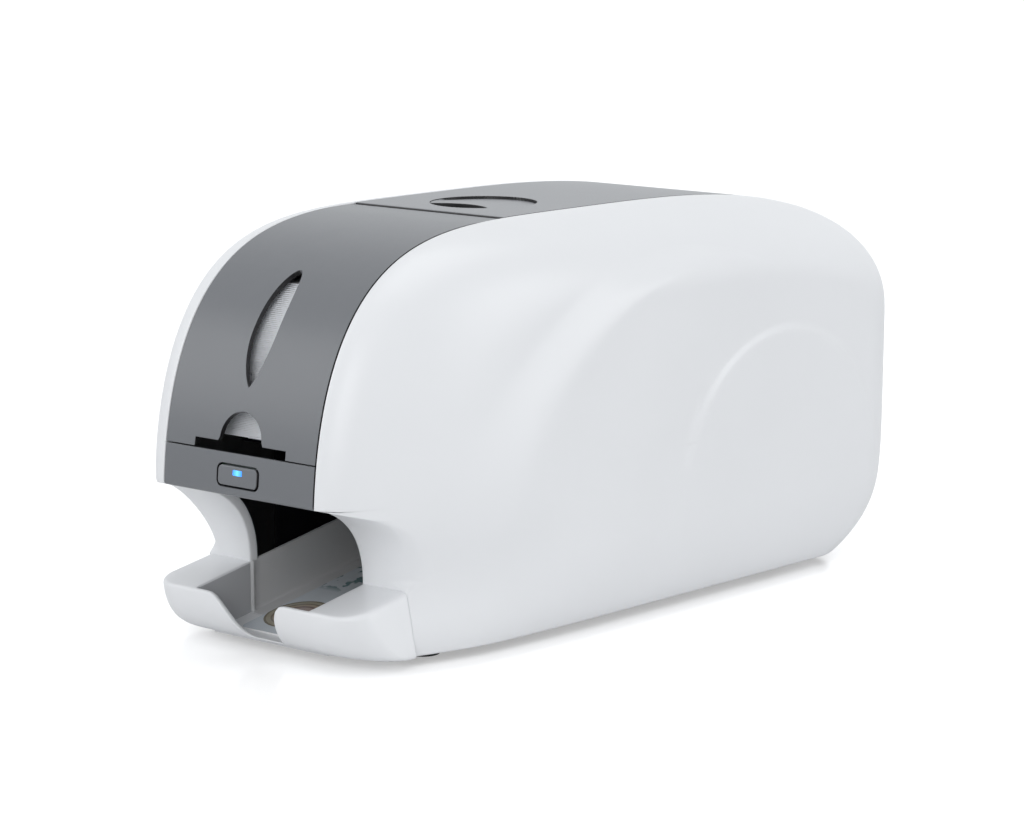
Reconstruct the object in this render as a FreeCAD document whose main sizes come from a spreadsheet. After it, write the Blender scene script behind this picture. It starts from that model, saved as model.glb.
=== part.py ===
import FreeCAD, Part
import math
import os
import Sketcher

# Desktop printer for plastic identity cards, lengths in millimetres.
# The front faces -Y, +X is the right side seen from the front, +Z is up.
# The origin lies on the table under the middle of the printer.

doc = FreeCAD.newDocument("CardPrinter")
sheet = doc.addObject("Spreadsheet::Sheet", "Sizes")
Vector = FreeCAD.Vector

SIZES = {
    # Outline of the middle strip, seen from the side
    "body_length": 413.0,
    "body_height": 200.0,
    "body_width": 184.0,
    "crown_offset": 10.0,
    "front_centre_height": 60.0,
    "rear_centre_height": 128.0,
    "front_skirt_depth": 110.0,
    "rear_skirt_depth": 150.0,
    "floor_gap": 4.5,
    # Side covers
    "strip_width": 98.0,
    "base_clearance": 3.0,
    "cover_wall": 2.5,
    "nose_round": 107.0,
    "rear_round": 40.0,
    "tuck_width": 11.0,
    "tuck_height": 40.5,
    "pinch_width": 16.0,
    "arch_front_offset": 10.0,
    "arch_radius": 181.0,
    "arch_ramp": 30.0,
    "arch_step": 3.0,
    "heart_offset": 50.0,
    "heart_height": 85.0,
    "flange_depth": 12.0,
    "flange_wall": 2.0,
    "neck_half_width": 37.0,
    "neck_front_depth": 20.0,
    "neck_back_depth": 44.7,
    "neck_lip_height": 72.7,
    "neck_foot_height": 35.0,
    # Strip pieces
    "skin_wall": 2.5,
    "fit_gap": 0.3,
    "overrun": 1.0,
    "seam_gap": 1.2,
    "panel_bottom": 78.0,
    "panel_top": 98.0,
    "lid_front_offset": 66.5,
    "lid_rear_offset": 159.5,
    "hinge_setback": 12.0,
    "hinge_depth": 3.5,
    "hinge_pin_radius": 1.5,
    "hinge_pin_length": 8.0,
    "running_gap": 0.05,
    # Windows of the front cover
    "slot_width": 59.0,
    "slot_height": 4.2,
    "thumb_width": 27.0,
    "thumb_height": 14.5,
    "lens_bottom": 128.0,
    "lens_top": 179.0,
    "lens_width": 15.5,
    # Finger dish of the lid
    "dish_radius": 26.5,
    "dish_setback": 42.0,
    "dish_depth": 5.0,
    "grip_setback": 15.0,
    "grip_sink": 0.8,
    "grip_thickness": 2.2,
    "latch_setback": 22.0,
    "latch_half_width": 12.0,
    "latch_barrel_radius": 1.3,
    "latch_pin_radius": 0.8,
    "latch_pin_length": 5.0,
    # Status button
    "button_width": 26.0,
    "button_height": 10.0,
    "button_centre_height": 87.7,
    "button_depth": 6.0,
    "button_proud": 0.4,
    "button_groove": 0.9,
    "button_travel": 1.0,
    "light_width": 6.8,
    "light_height": 3.5,
    # Output tray and chute
    "tray_wall": 2.8,
    "tray_back_height": 35.0,
    "tray_front_height": 28.0,
    "tray_half_width": 66.5,
    "tray_foot_half_width": 71.5,
    "tray_length": 37.2,
    "tray_corner_radius": 14.0,
    "tray_foot_setback": 17.5,
    "chute_front_height": 6.4,
    "chute_rear_height": 34.0,
    "chute_length": 150.0,
    "chute_wall": 2.0,
    "chute_side_height": 25.0,
    "finger_half_width": 28.0,
    "finger_floor_height": 6.0,
    # Cards
    "card_length": 85.6,
    "card_width": 54.0,
    "card_thickness": 0.76,
    "card_corner_radius": 3.18,
    "stack_top_room": 30.0,
    "stack_front_setback": 21.5,
    "card_path_height": 98.0,
    # Hopper
    "hopper_wall": 2.0,
    "hopper_floor": 1.6,
    "hopper_side_gap": 0.6,
    # Frame
    "plate_half_width": 40.0,
    "plate_wall": 1.5,
    "plate_front_setback": 66.0,
    "plate_length": 271.0,
    "plate_crown": 18.44,
    "base_floor": 3.0,
    "base_front_setback": 50.0,
    "base_rear_setback": 48.0,
    "base_taper_length": 100.0,
    "base_taper_width": 13.0,
    # Rollers
    "roller_radius": 9.0,
    "roller_length": 60.0,
    "shaft_radius": 3.0,
    "pinch_radius": 5.0,
    "pinch_length": 50.0,
    "pinch_shaft_radius": 2.0,
    "feed_length": 24.0,
    "cleaner_radius": 8.0,
    "feed_setback": 80.0,
    "entry_setback": 138.0,
    "cleaner_setback": 162.0,
    "platen_setback": 190.0,
    "exit_setback": 250.0,
    "motor_setback": 276.5,
    "motor_drop": 28.7,
    "pulley_radius": 8.0,
    "pulley_width": 6.0,
    "belt_thickness": 1.2,
    "motor_radius": 15.0,
    "motor_length": 34.0,
    # Print head and ribbon
    "head_width": 64.0,
    "head_length": 16.0,
    "head_height": 24.0,
    "ribbon_height": 148.0,
    "supply_setback": 258.0,
    "takeup_setback": 144.0,
    "spool_core_radius": 7.0,
    "supply_radius": 19.0,
    "takeup_radius": 12.0,
    "cheek_wall": 2.0,
    "cheek_half_width": 34.5,
    "film_thickness": 0.4,
    # Rear parts
    "bulkhead_setback": 40.5,
    "bulkhead_wall": 1.5,
    "bulkhead_height": 130.0,
    "bulkhead_half_width": 44.0,
    "port_window_half_width": 40.0,
    "port_window_bottom": 16.0,
    "port_window_top": 50.0,
    "fan_size": 40.0,
    "fan_depth": 10.0,
    "fan_height": 100.0,
    "inlet_width": 27.0,
    "inlet_height": 20.0,
    "usb_width": 12.0,
    "usb_height": 11.0,
    "switch_width": 14.0,
    "switch_height": 20.0,
    # Board, feet and screws
    "board_length": 130.0,
    "board_height": 40.0,
    "board_wall": 1.6,
    "board_standoff": 14.0,
    "foot_radius": 8.0,
}
# Fullness of the four quarters of the outline (a power of 2 is an ellipse):
# along and up, for front top, rear top, rear bottom and front bottom.
FULLNESS_SHARES = ((4.67, 2.26), (2.85, 2.73), (2.85, 5.1), (4.67, 5.0))
# Half widths of the covers' lines, from the strip's edge to the flat side.
LEVEL_SHARES = (0, 0.3, 0.55, 0.72, 0.83, 0.9, 0.94, 0.97, 0.985, 0.9995)
# The pinched cheek: its height on the tuck, its spread, and where it starts and ends.
PINCH_SHARE = 0.8
PINCH_SPREAD_SHARE = 0.6
PINCH_REACH_SHARES = (1.5, 1.1)
RAY_COUNT = 80
# Heights of the tray's level outlines, and of the fullest part of its front.
TRAY_LEVEL_SHARES = (0, 0.06, 0.16, 0.32, 0.55, 1)
BULGE_SHARE = 0.42
# How far the top rounds down to the side, of the rear shoulder's rise.
TOP_ROUND_SHARE = 40 / 72
# How far the stack leans, of its height.
STACK_LEAN_SHARE = 16.5 / 72
# The tray's finger notch: half widths and heights from its floor to the rim.
NOTCH_SHARES = ((0.25, 0), (0.39, 0.12), (0.56, 0.42), (0.74, 0.72), (1, 1))


class Dim:
    """A length with its number and the sheet expression that gives it."""

    def __init__(self, value, text):
        self.value = value
        self.text = text

    def join(self, other, sign, value):
        return Dim(value, "(%s %s %s)" % (self.text, sign, as_dim(other).text))

    def __add__(self, other):
        return self.join(other, "+", self.value + float(other))

    def __sub__(self, other):
        return self.join(other, "-", self.value - float(other))

    def __mul__(self, other):
        return self.join(other, "*", self.value * float(other))

    def __truediv__(self, other):
        return self.join(other, "/", self.value / float(other))

    def __neg__(self):
        return Dim(-self.value, "(0 - %s)" % self.text)

    def __float__(self):
        return float(self.value)


def as_dim(thing):
    return thing if isinstance(thing, Dim) else Dim(float(thing), repr(float(thing)))


class Names:
    """Gives each cell of the sheet as a Dim by its alias."""


size = Names()
for row, (alias, number) in enumerate(SIZES.items(), start=1):
    sheet.set("A%d" % row, alias)
    sheet.set("B%d" % row, repr(number))
    sheet.setAlias("B%d" % row, alias)
doc.recompute()
for alias in SIZES:
    setattr(size, alias, Dim(float(sheet.get(alias)), "Sizes." + alias))
zero = Dim(0.0, "0")

# Places that many pieces share
front_face = -(size.body_length / 2)
rear_face = size.body_length / 2
half_strip = size.strip_width / 2
half_width = size.body_width / 2
strip_edge = half_strip - size.fit_gap
lid_front = -(size.lid_front_offset + size.crown_offset)
lid_rear = size.lid_rear_offset - size.crown_offset
base_top = size.floor_gap + size.base_floor
drive_height = size.card_path_height - size.roller_radius - size.fit_gap
card_top = size.card_path_height + size.card_thickness
tray_back = front_face + size.neck_back_depth
tray_front = tray_back - size.tray_length

nodes = []


def keep(thing, label):
    """Names a finished sub-part and lists it for writing."""
    thing.Label = label
    nodes.append(thing)
    return thing


def bind(thing, prop, length):
    thing.setExpression(prop, as_dim(length).text)


def put(thing, x, y, z):
    """Binds the place of a sub-part to the sheet."""
    bind(thing, "Placement.Base.x", x)
    bind(thing, "Placement.Base.y", y)
    bind(thing, "Placement.Base.z", z)


def new_body(name):
    return doc.addObject("PartDesign::Body", name)


def new_sketch(body, role, name, height=zero):
    """A sketch on one of the body's origin planes, lifted along its normal."""
    sketch = body.newObject("Sketcher::SketchObject", name)
    plane = [f for f in body.Origin.OriginFeatures if f.Role == role][0]
    sketch.AttachmentSupport = (plane, "")
    sketch.MapMode = "FlatFace"
    if height is not zero:
        bind(sketch, "AttachmentOffset.Base.z", height)
    return sketch


def fix_point(sketch, index, end, across, along):
    """Ties one point of a sketch to its two coordinates."""
    for kind, axis, length in (("DistanceX", -2, across), ("DistanceY", -1, along)):
        if float(length) == 0.0:
            sketch.addConstraint(Sketcher.Constraint("PointOnObject", index, end, axis))
        else:
            number = sketch.addConstraint(
                Sketcher.Constraint(kind, -1, 1, index, end, float(length)))
            bind(sketch, "Constraints[%d]" % number, length)


def draw_outline(sketch, points):
    """A closed polygon through points given as pairs of lengths."""
    points = [(as_dim(a), as_dim(b)) for a, b in points]
    first = sketch.GeometryCount
    count = len(points)
    for i in range(count):
        a, b = points[i], points[(i + 1) % count]
        sketch.addGeometry(Part.LineSegment(Vector(float(a[0]), float(a[1]), 0),
                                            Vector(float(b[0]), float(b[1]), 0)))
    for i in range(count):
        after = first + (i + 1) % count
        sketch.addConstraint(Sketcher.Constraint("Coincident", first + i, 2, after, 1))
    for i in range(count):
        fix_point(sketch, first + i, 1, points[i][0], points[i][1])


def draw_box(sketch, left, right, bottom, top):
    draw_outline(sketch, [(left, bottom), (right, bottom), (right, top), (left, top)])


def draw_circle(sketch, across, along, radius):
    index = sketch.addGeometry(Part.Circle(
        Vector(float(across), float(along), 0), Vector(0, 0, 1), float(radius)))
    fix_point(sketch, index, 3, as_dim(across), as_dim(along))
    number = sketch.addConstraint(Sketcher.Constraint("Radius", index, float(radius)))
    bind(sketch, "Constraints[%d]" % number, radius)


def pad(body, sketch, name, length, middle=False):
    """A pad along the sketch normal, or to both sides of it."""
    feature = body.newObject("PartDesign::Pad", name)
    feature.Profile = sketch
    bind(feature, "Length", length)
    feature.Midplane = middle
    doc.recompute()
    return feature


def pocket(body, sketch, name, length, middle=True):
    """A cut of the given length, checked to have removed something."""
    before = body.Shape.Volume
    feature = body.newObject("PartDesign::Pocket", name)
    feature.Profile = sketch
    bind(feature, "Length", length)
    feature.Midplane = middle
    doc.recompute()
    if not body.Shape.Volume < before:
        raise RuntimeError(name + " removes nothing")
    return feature


def turn(body, sketch, name):
    """A full revolution about the X axis of the sketch."""
    feature = body.newObject("PartDesign::Revolution", name)
    feature.Profile = sketch
    feature.ReferenceAxis = (sketch, ["H_Axis"])
    feature.Angle = 360
    doc.recompute()
    return feature


def soften(body, name, radius, wanted):
    """Fillets the edges of the body's tip that the test picks."""
    tip = body.Tip
    edges = ["Edge%d" % (i + 1) for i, e in enumerate(tip.Shape.Edges) if wanted(e)]
    feature = body.newObject("PartDesign::Fillet", name)
    feature.Base = (tip, edges)
    bind(feature, "Radius", radius)
    doc.recompute()
    return feature


def along(axis):
    """Test for straight edges parallel to an axis."""
    def test(edge):
        if not isinstance(edge.Curve, Part.Line):
            return False
        return abs(edge.Curve.Direction.dot(axis)) > 0.999
    return test


def ready_shape(label, shape):
    """A sub-part whose form is worked out with surfaces, not features."""
    feature = doc.addObject("Part::Feature", label)
    feature.Shape = shape
    feature.Placement = FreeCAD.Placement()
    return keep(feature, label)


def block(x0, x1, y0, y1, z0, z1):
    """A solid box between two corners, for cutting the moulded pieces."""
    x0, x1, y0, y1, z0, z1 = (float(v) for v in (x0, x1, y0, y1, z0, z1))
    return Part.makeBox(x1 - x0, y1 - y0, z1 - z0, Vector(x0, y0, z0))


def rod(x0, x1, y, z, radius):
    """A round solid along X."""
    return Part.makeCylinder(float(radius), float(x1) - float(x0),
                             Vector(float(x0), float(y), float(z)), Vector(1, 0, 0))


def reach_of_all():
    """A length longer than the printer, for cuts that go right through."""
    return float(size.body_length)


# Outline of the printer from the side
def quarter_axes(inset, nose, top, rear):
    """Half axes (along, up) of the four quarters at a level of the covers."""
    front_run = float(size.body_length / 2 - size.crown_offset) - inset - nose
    rear_run = float(size.body_length / 2 + size.crown_offset) - inset - rear
    front_rise = float(size.body_height - size.front_centre_height) - inset - top
    rear_rise = float(size.body_height - size.rear_centre_height) - inset - top
    return ((front_run, front_rise), (rear_run, rear_rise),
            (rear_run, float(size.rear_skirt_depth) - inset),
            (front_run, float(size.front_skirt_depth) - inset))


def outline_point(angle, axes):
    """Point at an angle: 0 is the front, 90 degrees the top, 180 the rear."""
    quarter = int(angle // (math.pi / 2)) % 4
    run, rise = axes[quarter]
    power_along, power_up = FULLNESS_SHARES[quarter]
    centre = size.front_centre_height if quarter in (0, 3) else size.rear_centre_height
    cosine, sine = math.cos(angle), math.sin(angle)
    y = -float(size.crown_offset) - math.copysign(
        run * abs(cosine) ** (2 / power_along), cosine)
    z = float(centre) + math.copysign(rise * abs(sine) ** (2 / power_up), sine)
    return y, z


def even_outline(axes, count):
    """Points spaced evenly along the closed outline, starting low in front."""
    start = -math.pi / 2 + 0.2
    fine = [outline_point(start + 2 * math.pi * k / 1440, axes) for k in range(1441)]
    run = [0.0]
    for a, b in zip(fine, fine[1:]):
        run.append(run[-1] + math.dist(a, b))
    points = []
    k = 0
    for i in range(count):
        target = run[-1] * i / count
        while run[k + 1] < target:
            k += 1
        part = (target - run[k]) / (run[k + 1] - run[k])
        (y0, z0), (y1, z1) = fine[k], fine[k + 1]
        points.append((y0 + (y1 - y0) * part, z0 + (z1 - z0) * part))
    return points


def outline_wire(x, axes, count=30):
    points = [Vector(x, y, z) for y, z in even_outline(axes, count)]
    curve = Part.BSplineCurve()
    curve.interpolate(Points=points, PeriodicFlag=True)
    return Part.Wire(curve.toShape())


def strip_solid(inset, x0, x1):
    """The outline, moved inward, as a block across the middle strip."""
    face = Part.Face(outline_wire(float(x0), quarter_axes(float(inset), 0, 0, 0)))
    return face.extrude(Vector(float(x1) - float(x0), 0, 0))


def skin_height(y, inset=0.0):
    """Height of the strip's skin above a place along the printer."""
    axes = quarter_axes(float(inset), 0, 0, 0)
    low, high = 0.0, math.pi
    for _ in range(50):
        middle = (low + high) / 2
        if outline_point(middle, axes)[0] < float(y):
            low = middle
        else:
            high = middle
    return outline_point(low, axes)[1]



# Side covers
def side_reach(y, z, inset, reach):
    """Half width of the moulded covers at a place on the side, before the strip's edge.

    From the outline inwards the width grows like a quarter ellipse. The foot tucks
    in on an arc, the cheek beside the tray is pinched, and a broad arched ramp
    lifts the rear part of the side."""
    quarter = (0 if y < -float(size.crown_offset) else 1)
    front = quarter == 0
    centre = float(size.front_centre_height if front else size.rear_centre_height)
    if z < centre:
        quarter = 3 - quarter
    power_along, power_up = FULLNESS_SHARES[quarter]
    dy, dz = abs(y + float(size.crown_offset)), abs(z - centre)

    def fullness(sink):
        run, rise = quarter_axes(inset, float(size.nose_round) * sink,
                                 float(size.body_height - size.rear_centre_height)
                                 * TOP_ROUND_SHARE * sink,
                                 float(size.rear_round) * sink)[quarter]
        return (dy / run) ** power_along + (dz / rise) ** power_up

    half = float(half_strip)
    edge = fullness(0.0)
    if edge >= 1:
        return half - (edge - 1) * half
    low, high = 0.0, 1.0
    for _ in range(24):
        middle = (low + high) / 2
        low, high = (middle, high) if fullness(middle) < 1 else (low, middle)
    width = half + (reach - half) * math.sqrt(max(0.0, 1 - (1 - low) ** 2))
    height = float(size.tuck_height)
    depth = float(size.tuck_width)
    radius = (height ** 2 + depth ** 2) / (2 * depth)
    below = min(max(0.0, float(size.floor_gap) + height - z), radius)
    width -= radius - math.sqrt(radius ** 2 - below ** 2)
    pinch_height = float(size.floor_gap) + height * PINCH_SHARE
    ahead = (float(front_face + size.nose_round * PINCH_REACH_SHARES[0]) - y) / float(
        size.nose_round * PINCH_REACH_SHARES[1])
    fade = math.exp(-((z - pinch_height) / (height * PINCH_SPREAD_SHARE)) ** 2)
    ahead = max(0.0, min(1.0, ahead))
    width -= float(size.pinch_width) * fade * ahead ** 2 * (3 - 2 * ahead)
    outside = math.dist((y, z), (float(size.arch_front_offset), 0)) - float(size.arch_radius)
    ramp = max(0.0, min(1.0, 1 + outside / float(size.arch_ramp)))
    lower = float(size.arch_step) * ramp ** 2 * (3 - 2 * ramp) / (reach - half)
    return width - max(0.0, width - half) * lower


def level_wire(x, inset, reach, count=RAY_COUNT):
    """Line round the cover where its half width is x, found along rays."""
    axes = quarter_axes(inset, 0, 0, 0)
    heart = (float(size.heart_offset), float(size.heart_height))
    points = []
    for y, z in even_outline(axes, count):
        low, high = 0.0, 1.0
        for _ in range(24):
            middle = (low + high) / 2
            place = [h + (end - h) * middle for h, end in zip(heart, (y, z))]
            low, high = (middle, high) if side_reach(*place, inset, reach) > x else (low, middle)
        points.append(Vector(x, *[h + (end - h) * low for h, end in zip(heart, (y, z))]))
    curve = Part.BSplineCurve()
    curve.interpolate(Points=points, PeriodicFlag=True)
    return Part.Wire(curve.toShape())


def cover_form(inset, reach):
    """Half of the moulded form, through its lines of equal half width."""
    half = float(half_strip)
    levels = [half + (reach - half) * share for share in LEVEL_SHARES]
    return Part.makeLoft([level_wire(x, inset, reach) for x in levels], True, True)


def neck_profile(back):
    """Region in front of the concave neck, under the button panel."""
    front = float(front_face)
    lip = Vector(0, front + float(size.neck_front_depth) + back, float(size.neck_lip_height))
    foot = Vector(0, front + float(size.neck_back_depth) + back, float(size.neck_foot_height))
    bend = Vector(0, foot.y - (foot.y - lip.y) * 0.24, lip.z - (lip.z - foot.z) * 0.38)
    ahead = front - float(size.nose_round)
    low = -float(size.front_skirt_depth)
    panel = float(size.panel_bottom)
    corners = [foot, Vector(0, foot.y, low), Vector(0, ahead, low),
               Vector(0, ahead, panel + back), Vector(0, front, panel + back), lip]
    edges = [Part.LineSegment(a, b).toShape() for a, b in zip(corners, corners[1:])]
    edges.append(Part.Arc(lip, bend, foot).toShape())
    return Part.Face(Part.Wire(edges))


def neck_solid(back, x0, x1):
    face = neck_profile(back)
    face.translate(Vector(float(x0), 0, 0))
    return face.extrude(Vector(float(x1) - float(x0), 0, 0))


wall = float(size.cover_wall)
outer = cover_form(0.0, float(half_width)).common(block(
    0, half_width * 2, front_face, rear_face, size.floor_gap, size.body_height))
inner = cover_form(wall, float(half_width) - wall)
outer = outer.cut(neck_solid(0.0, -float(half_width), 2 * float(half_width)))
inner = inner.cut(neck_solid(wall, -float(half_width), 2 * float(half_width)))
shell_wall = outer.cut(inner)
overlap = wall / 2
flange = strip_solid(overlap, half_strip, half_strip + size.flange_wall)
flange = flange.cut(strip_solid(size.flange_depth, half_strip - size.overrun, half_width))
flange = flange.cut(neck_solid(wall, -float(half_width), 2 * float(half_width)))
flange = flange.common(block(0, half_width, front_face, rear_face,
                             size.floor_gap, size.body_height))
flange = flange.cut(block(0, half_width, front_face, rear_face - size.base_rear_setback
                          + size.fit_gap, zero, size.floor_gap + size.base_floor
                          + size.fit_gap))
neck_inside = neck_solid(wall, size.neck_half_width, half_strip + overlap)
neck_inside = neck_inside.cut(neck_solid(0.0, 0, half_width))
neck_inside = neck_inside.common(block(
    0, half_width, front_face + size.neck_front_depth, rear_face,
    size.floor_gap, size.neck_lip_height))
cover = shell_wall.fuse([flange, neck_inside])

visor_pivot_y = lid_front - size.hinge_setback
lid_pivot_y = lid_rear - size.hinge_setback
visor_pivot_z = skin_height(visor_pivot_y) - float(size.hinge_depth)
lid_pivot_z = skin_height(lid_pivot_y) - float(size.hinge_depth)
pivots = ((visor_pivot_y, visor_pivot_z), (lid_pivot_y, lid_pivot_z))
pin_end = half_strip + size.flange_wall
pin_start = pin_end - size.hinge_pin_length
for pivot_y, pivot_z in pivots:
    cover = cover.cut(rod(half_strip - size.flange_wall, pin_end, pivot_y, pivot_z,
                          size.hinge_pin_radius))
cover = cover.Solids[0]


def mirrored(shape):
    """The same piece on the other side of the printer."""
    return shape.mirror(Vector(0, 0, 0), Vector(1, 0, 0))


def both_sides(shape):
    return Part.makeCompound([shape, mirrored(shape)])


ready_shape("right_side_cover", cover)
ready_shape("left_side_cover", mirrored(cover))


# Pieces of the middle strip
def skin_plate(y0, y1, z0, z1):
    """A piece of the strip's curved skin between places and heights."""
    plate = strip_solid(0, -strip_edge, strip_edge)
    plate = plate.cut(strip_solid(size.skin_wall, -half_strip, half_strip))
    return plate.common(block(-half_strip, half_strip, y0, y1, z0, z1))


def front_prism(edges):
    """Cutter from an outline in front of the printer, going back into it."""
    face = Part.Face(Part.Wire(edges))
    face.translate(Vector(0, float(front_face - size.overrun), 0))
    return face.extrude(Vector(0, float(size.stack_front_setback) * 2.5, 0))


def line(a, b):
    return Part.LineSegment(a, b).toShape()


def rounded_block(half_across, half_up, corner, middle_height):
    """Outline of a rectangle with round corners, as a cutter through the front."""
    cutter = Part.makeBox(2 * half_across, float(size.stack_front_setback), 2 * half_up,
                          Vector(-half_across, float(front_face - size.overrun),
                                 middle_height - half_up))
    sides = [e for e in cutter.Edges if along(Vector(0, 1, 0))(e)]
    return cutter.makeFillet(corner, sides)


cover_bottom = float(size.panel_top + size.fit_gap)
slot_top = cover_bottom + float(size.slot_height)
half_slot = float(size.slot_width) / 2
half_thumb = float(size.thumb_width) / 2
visor = skin_plate(front_face, lid_front, cover_bottom, size.body_height)
slot = front_prism([
    line(Vector(-half_slot, 0, float(size.panel_bottom)), Vector(-half_slot, 0, slot_top)),
    line(Vector(-half_slot, 0, slot_top), Vector(-half_thumb, 0, slot_top)),
    Part.Arc(Vector(-half_thumb, 0, slot_top),
             Vector(0, 0, slot_top + float(size.thumb_height)),
             Vector(half_thumb, 0, slot_top)).toShape(),
    line(Vector(half_thumb, 0, slot_top), Vector(half_slot, 0, slot_top)),
    line(Vector(half_slot, 0, slot_top), Vector(half_slot, 0, float(size.panel_bottom))),
    line(Vector(half_slot, 0, float(size.panel_bottom)),
         Vector(-half_slot, 0, float(size.panel_bottom)))])
lens_low = Vector(0, 0, float(size.lens_bottom))
lens_high = Vector(0, 0, float(size.lens_top))
lens_side = Vector(float(size.lens_width) / 2, 0, (lens_low.z + lens_high.z) / 2)
lens = front_prism([
    Part.Arc(lens_low, lens_side, lens_high).toShape(),
    Part.Arc(lens_high, Vector(-lens_side.x, 0, lens_side.z), lens_low).toShape()])
visor = visor.cut(slot).cut(lens)


def add_ears(plate, pivot_y, pivot_z):
    """Hinge ears under the skin, bored for the pins with a running gap."""
    ear = rod(pin_start - size.fit_gap, strip_edge, pivot_y, pivot_z, size.hinge_depth)
    bore = rod(pin_start - size.fit_gap, half_strip, pivot_y, pivot_z,
               size.hinge_pin_radius + size.running_gap)
    plate = plate.fuse([ear, mirrored(ear)])
    return plate.cut(bore).cut(mirrored(bore)).Solids[0]


ready_shape("front_cover", add_ears(visor, visor_pivot_y, visor_pivot_z))

lid = skin_plate(lid_front + size.seam_gap, lid_rear, size.rear_centre_height,
                 size.body_height)
dish_y = lid_front + size.dish_setback
dish_radius = float(size.dish_radius)
dish_floor = float(size.body_height - size.skin_wall - size.dish_depth)


def upright(x, y, z0, z1, radius):
    return Part.makeCylinder(float(radius), float(z1) - float(z0),
                             Vector(float(x), float(y), float(z0)))


cup = upright(0, dish_y, dish_floor, size.body_height - size.skin_wall / 2,
              size.dish_radius + size.skin_wall)
bowl = upright(0, dish_y, dish_floor + float(size.skin_wall), size.body_height + size.overrun,
               size.dish_radius)
lid = lid.fuse(cup.common(strip_solid(0, -strip_edge, strip_edge))).cut(bowl)
latch_y = dish_y + size.latch_setback
latch_z = float(size.body_height - size.grip_sink - size.grip_thickness)
latch_half = size.latch_half_width
latch_end = latch_half + size.latch_pin_length + size.fit_gap
lid = lid.cut(rod(-latch_end, latch_end, latch_y, latch_z,
                  size.latch_pin_radius + size.running_gap))
ready_shape("top_cover", add_ears(lid, lid_pivot_y, lid_pivot_z))

grip_top = float(size.body_height - size.grip_sink)
grip = upright(0, dish_y, grip_top - float(size.grip_thickness), grip_top,
               size.dish_radius - size.fit_gap)
crescent = upright(0, dish_y - size.grip_setback * 2.6, dish_floor, size.body_height,
                   size.dish_radius + size.fit_gap)
grip = grip.cut(crescent).common(strip_solid(size.grip_sink, -strip_edge, strip_edge))
barrel = rod(-latch_half, latch_half, latch_y, latch_z, size.latch_barrel_radius)
latch_pin = rod(-(latch_half + size.latch_pin_length), latch_half + size.latch_pin_length,
                latch_y, latch_z, size.latch_pin_radius)
ready_shape("cover_latch", grip.fuse([barrel, latch_pin]).Solids[0])

for label, (pivot_y, pivot_z) in zip(("front_hinge_pins", "rear_hinge_pins"), pivots):
    pin = rod(pin_start, pin_end, pivot_y, pivot_z, size.hinge_pin_radius)
    ready_shape(label, both_sides(pin))

panel = skin_plate(front_face, front_face + size.neck_front_depth, size.panel_bottom,
                   size.panel_top)
lip_y = front_face + size.neck_front_depth - size.fit_gap
under = [Vector(0, float(front_face + size.skin_wall / 2), float(size.panel_bottom)),
         Vector(0, float(lip_y), float(size.neck_lip_height)),
         Vector(0, float(lip_y), float(size.neck_lip_height + size.skin_wall)),
         Vector(0, float(front_face + size.skin_wall / 2),
                float(size.panel_bottom + size.skin_wall))]
face = Part.Face(Part.makePolygon(under + under[:1]))
face.translate(Vector(-float(strip_edge), 0, 0))
panel = panel.fuse(face.extrude(Vector(2 * float(strip_edge), 0, 0)))
button_half = float(size.button_width) / 2
button_rise = float(size.button_height) / 2
button_z = float(size.button_centre_height)
groove = float(size.button_groove)
corner = button_rise / 2
panel = panel.cut(rounded_block(button_half + groove, button_rise + groove,
                                corner + groove, button_z))
board_y = front_face + size.button_depth + size.button_travel + size.skin_wall
post = Part.makeCylinder(float(size.shaft_radius) / 2, float(board_y) - float(
    front_face + size.skin_wall / 2), Vector(button_half + float(size.shaft_radius) * 1.5,
    float(front_face + size.skin_wall / 2), button_z), Vector(0, 1, 0))
panel = panel.fuse([post, mirrored(post)]).Solids[0]
ready_shape("front_panel", panel)

button = strip_solid(-size.button_proud, -half_strip, half_strip).common(
    rounded_block(button_half, button_rise, corner, button_z))
button = button.common(block(-half_strip, half_strip, front_face - size.overrun,
                             front_face + size.button_depth, 0, size.body_height))
window = block(-size.light_width / 2, size.light_width / 2, front_face - size.overrun,
               front_face + size.button_depth / 2,
               size.button_centre_height + size.fit_gap,
               size.button_centre_height + size.fit_gap + size.light_height)
ready_shape("status_button", button.cut(window))
ready_shape("button_light", button.common(window))


# Plain pieces from primitives tied to the sheet
def box(name, x0, x1, y0, y1, z0, z1):
    thing = doc.addObject("Part::Box", name)
    x0, x1, y0, y1, z0, z1 = (as_dim(v) for v in (x0, x1, y0, y1, z0, z1))
    bind(thing, "Length", x1 - x0)
    bind(thing, "Width", y1 - y0)
    bind(thing, "Height", z1 - z0)
    put(thing, x0, y0, z0)
    return thing


def cylinder(name, direction, x, y, z, length, radius):
    """A cylinder from a point along X, Y or Z."""
    thing = doc.addObject("Part::Cylinder", name)
    bind(thing, "Radius", radius)
    bind(thing, "Height", length)
    turns = {"X": FreeCAD.Rotation(Vector(0, 1, 0), 90),
             "Y": FreeCAD.Rotation(Vector(1, 0, 0), -90),
             "Z": FreeCAD.Rotation()}
    thing.Placement = FreeCAD.Placement(Vector(), turns[direction])
    put(thing, x, y, z)
    return thing


def join(name, *things):
    whole = doc.addObject("Part::MultiFuse", name)
    whole.Shapes = list(things)
    return whole


def group(name, *things):
    whole = doc.addObject("Part::Compound", name)
    whole.Links = list(things)
    return whole


def cut_away(name, base, *tools):
    whole = doc.addObject("Part::Cut", name)
    whole.Base = base
    whole.Tool = tools[0] if len(tools) == 1 else join(name + "_tools", *tools)
    return whole


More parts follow.
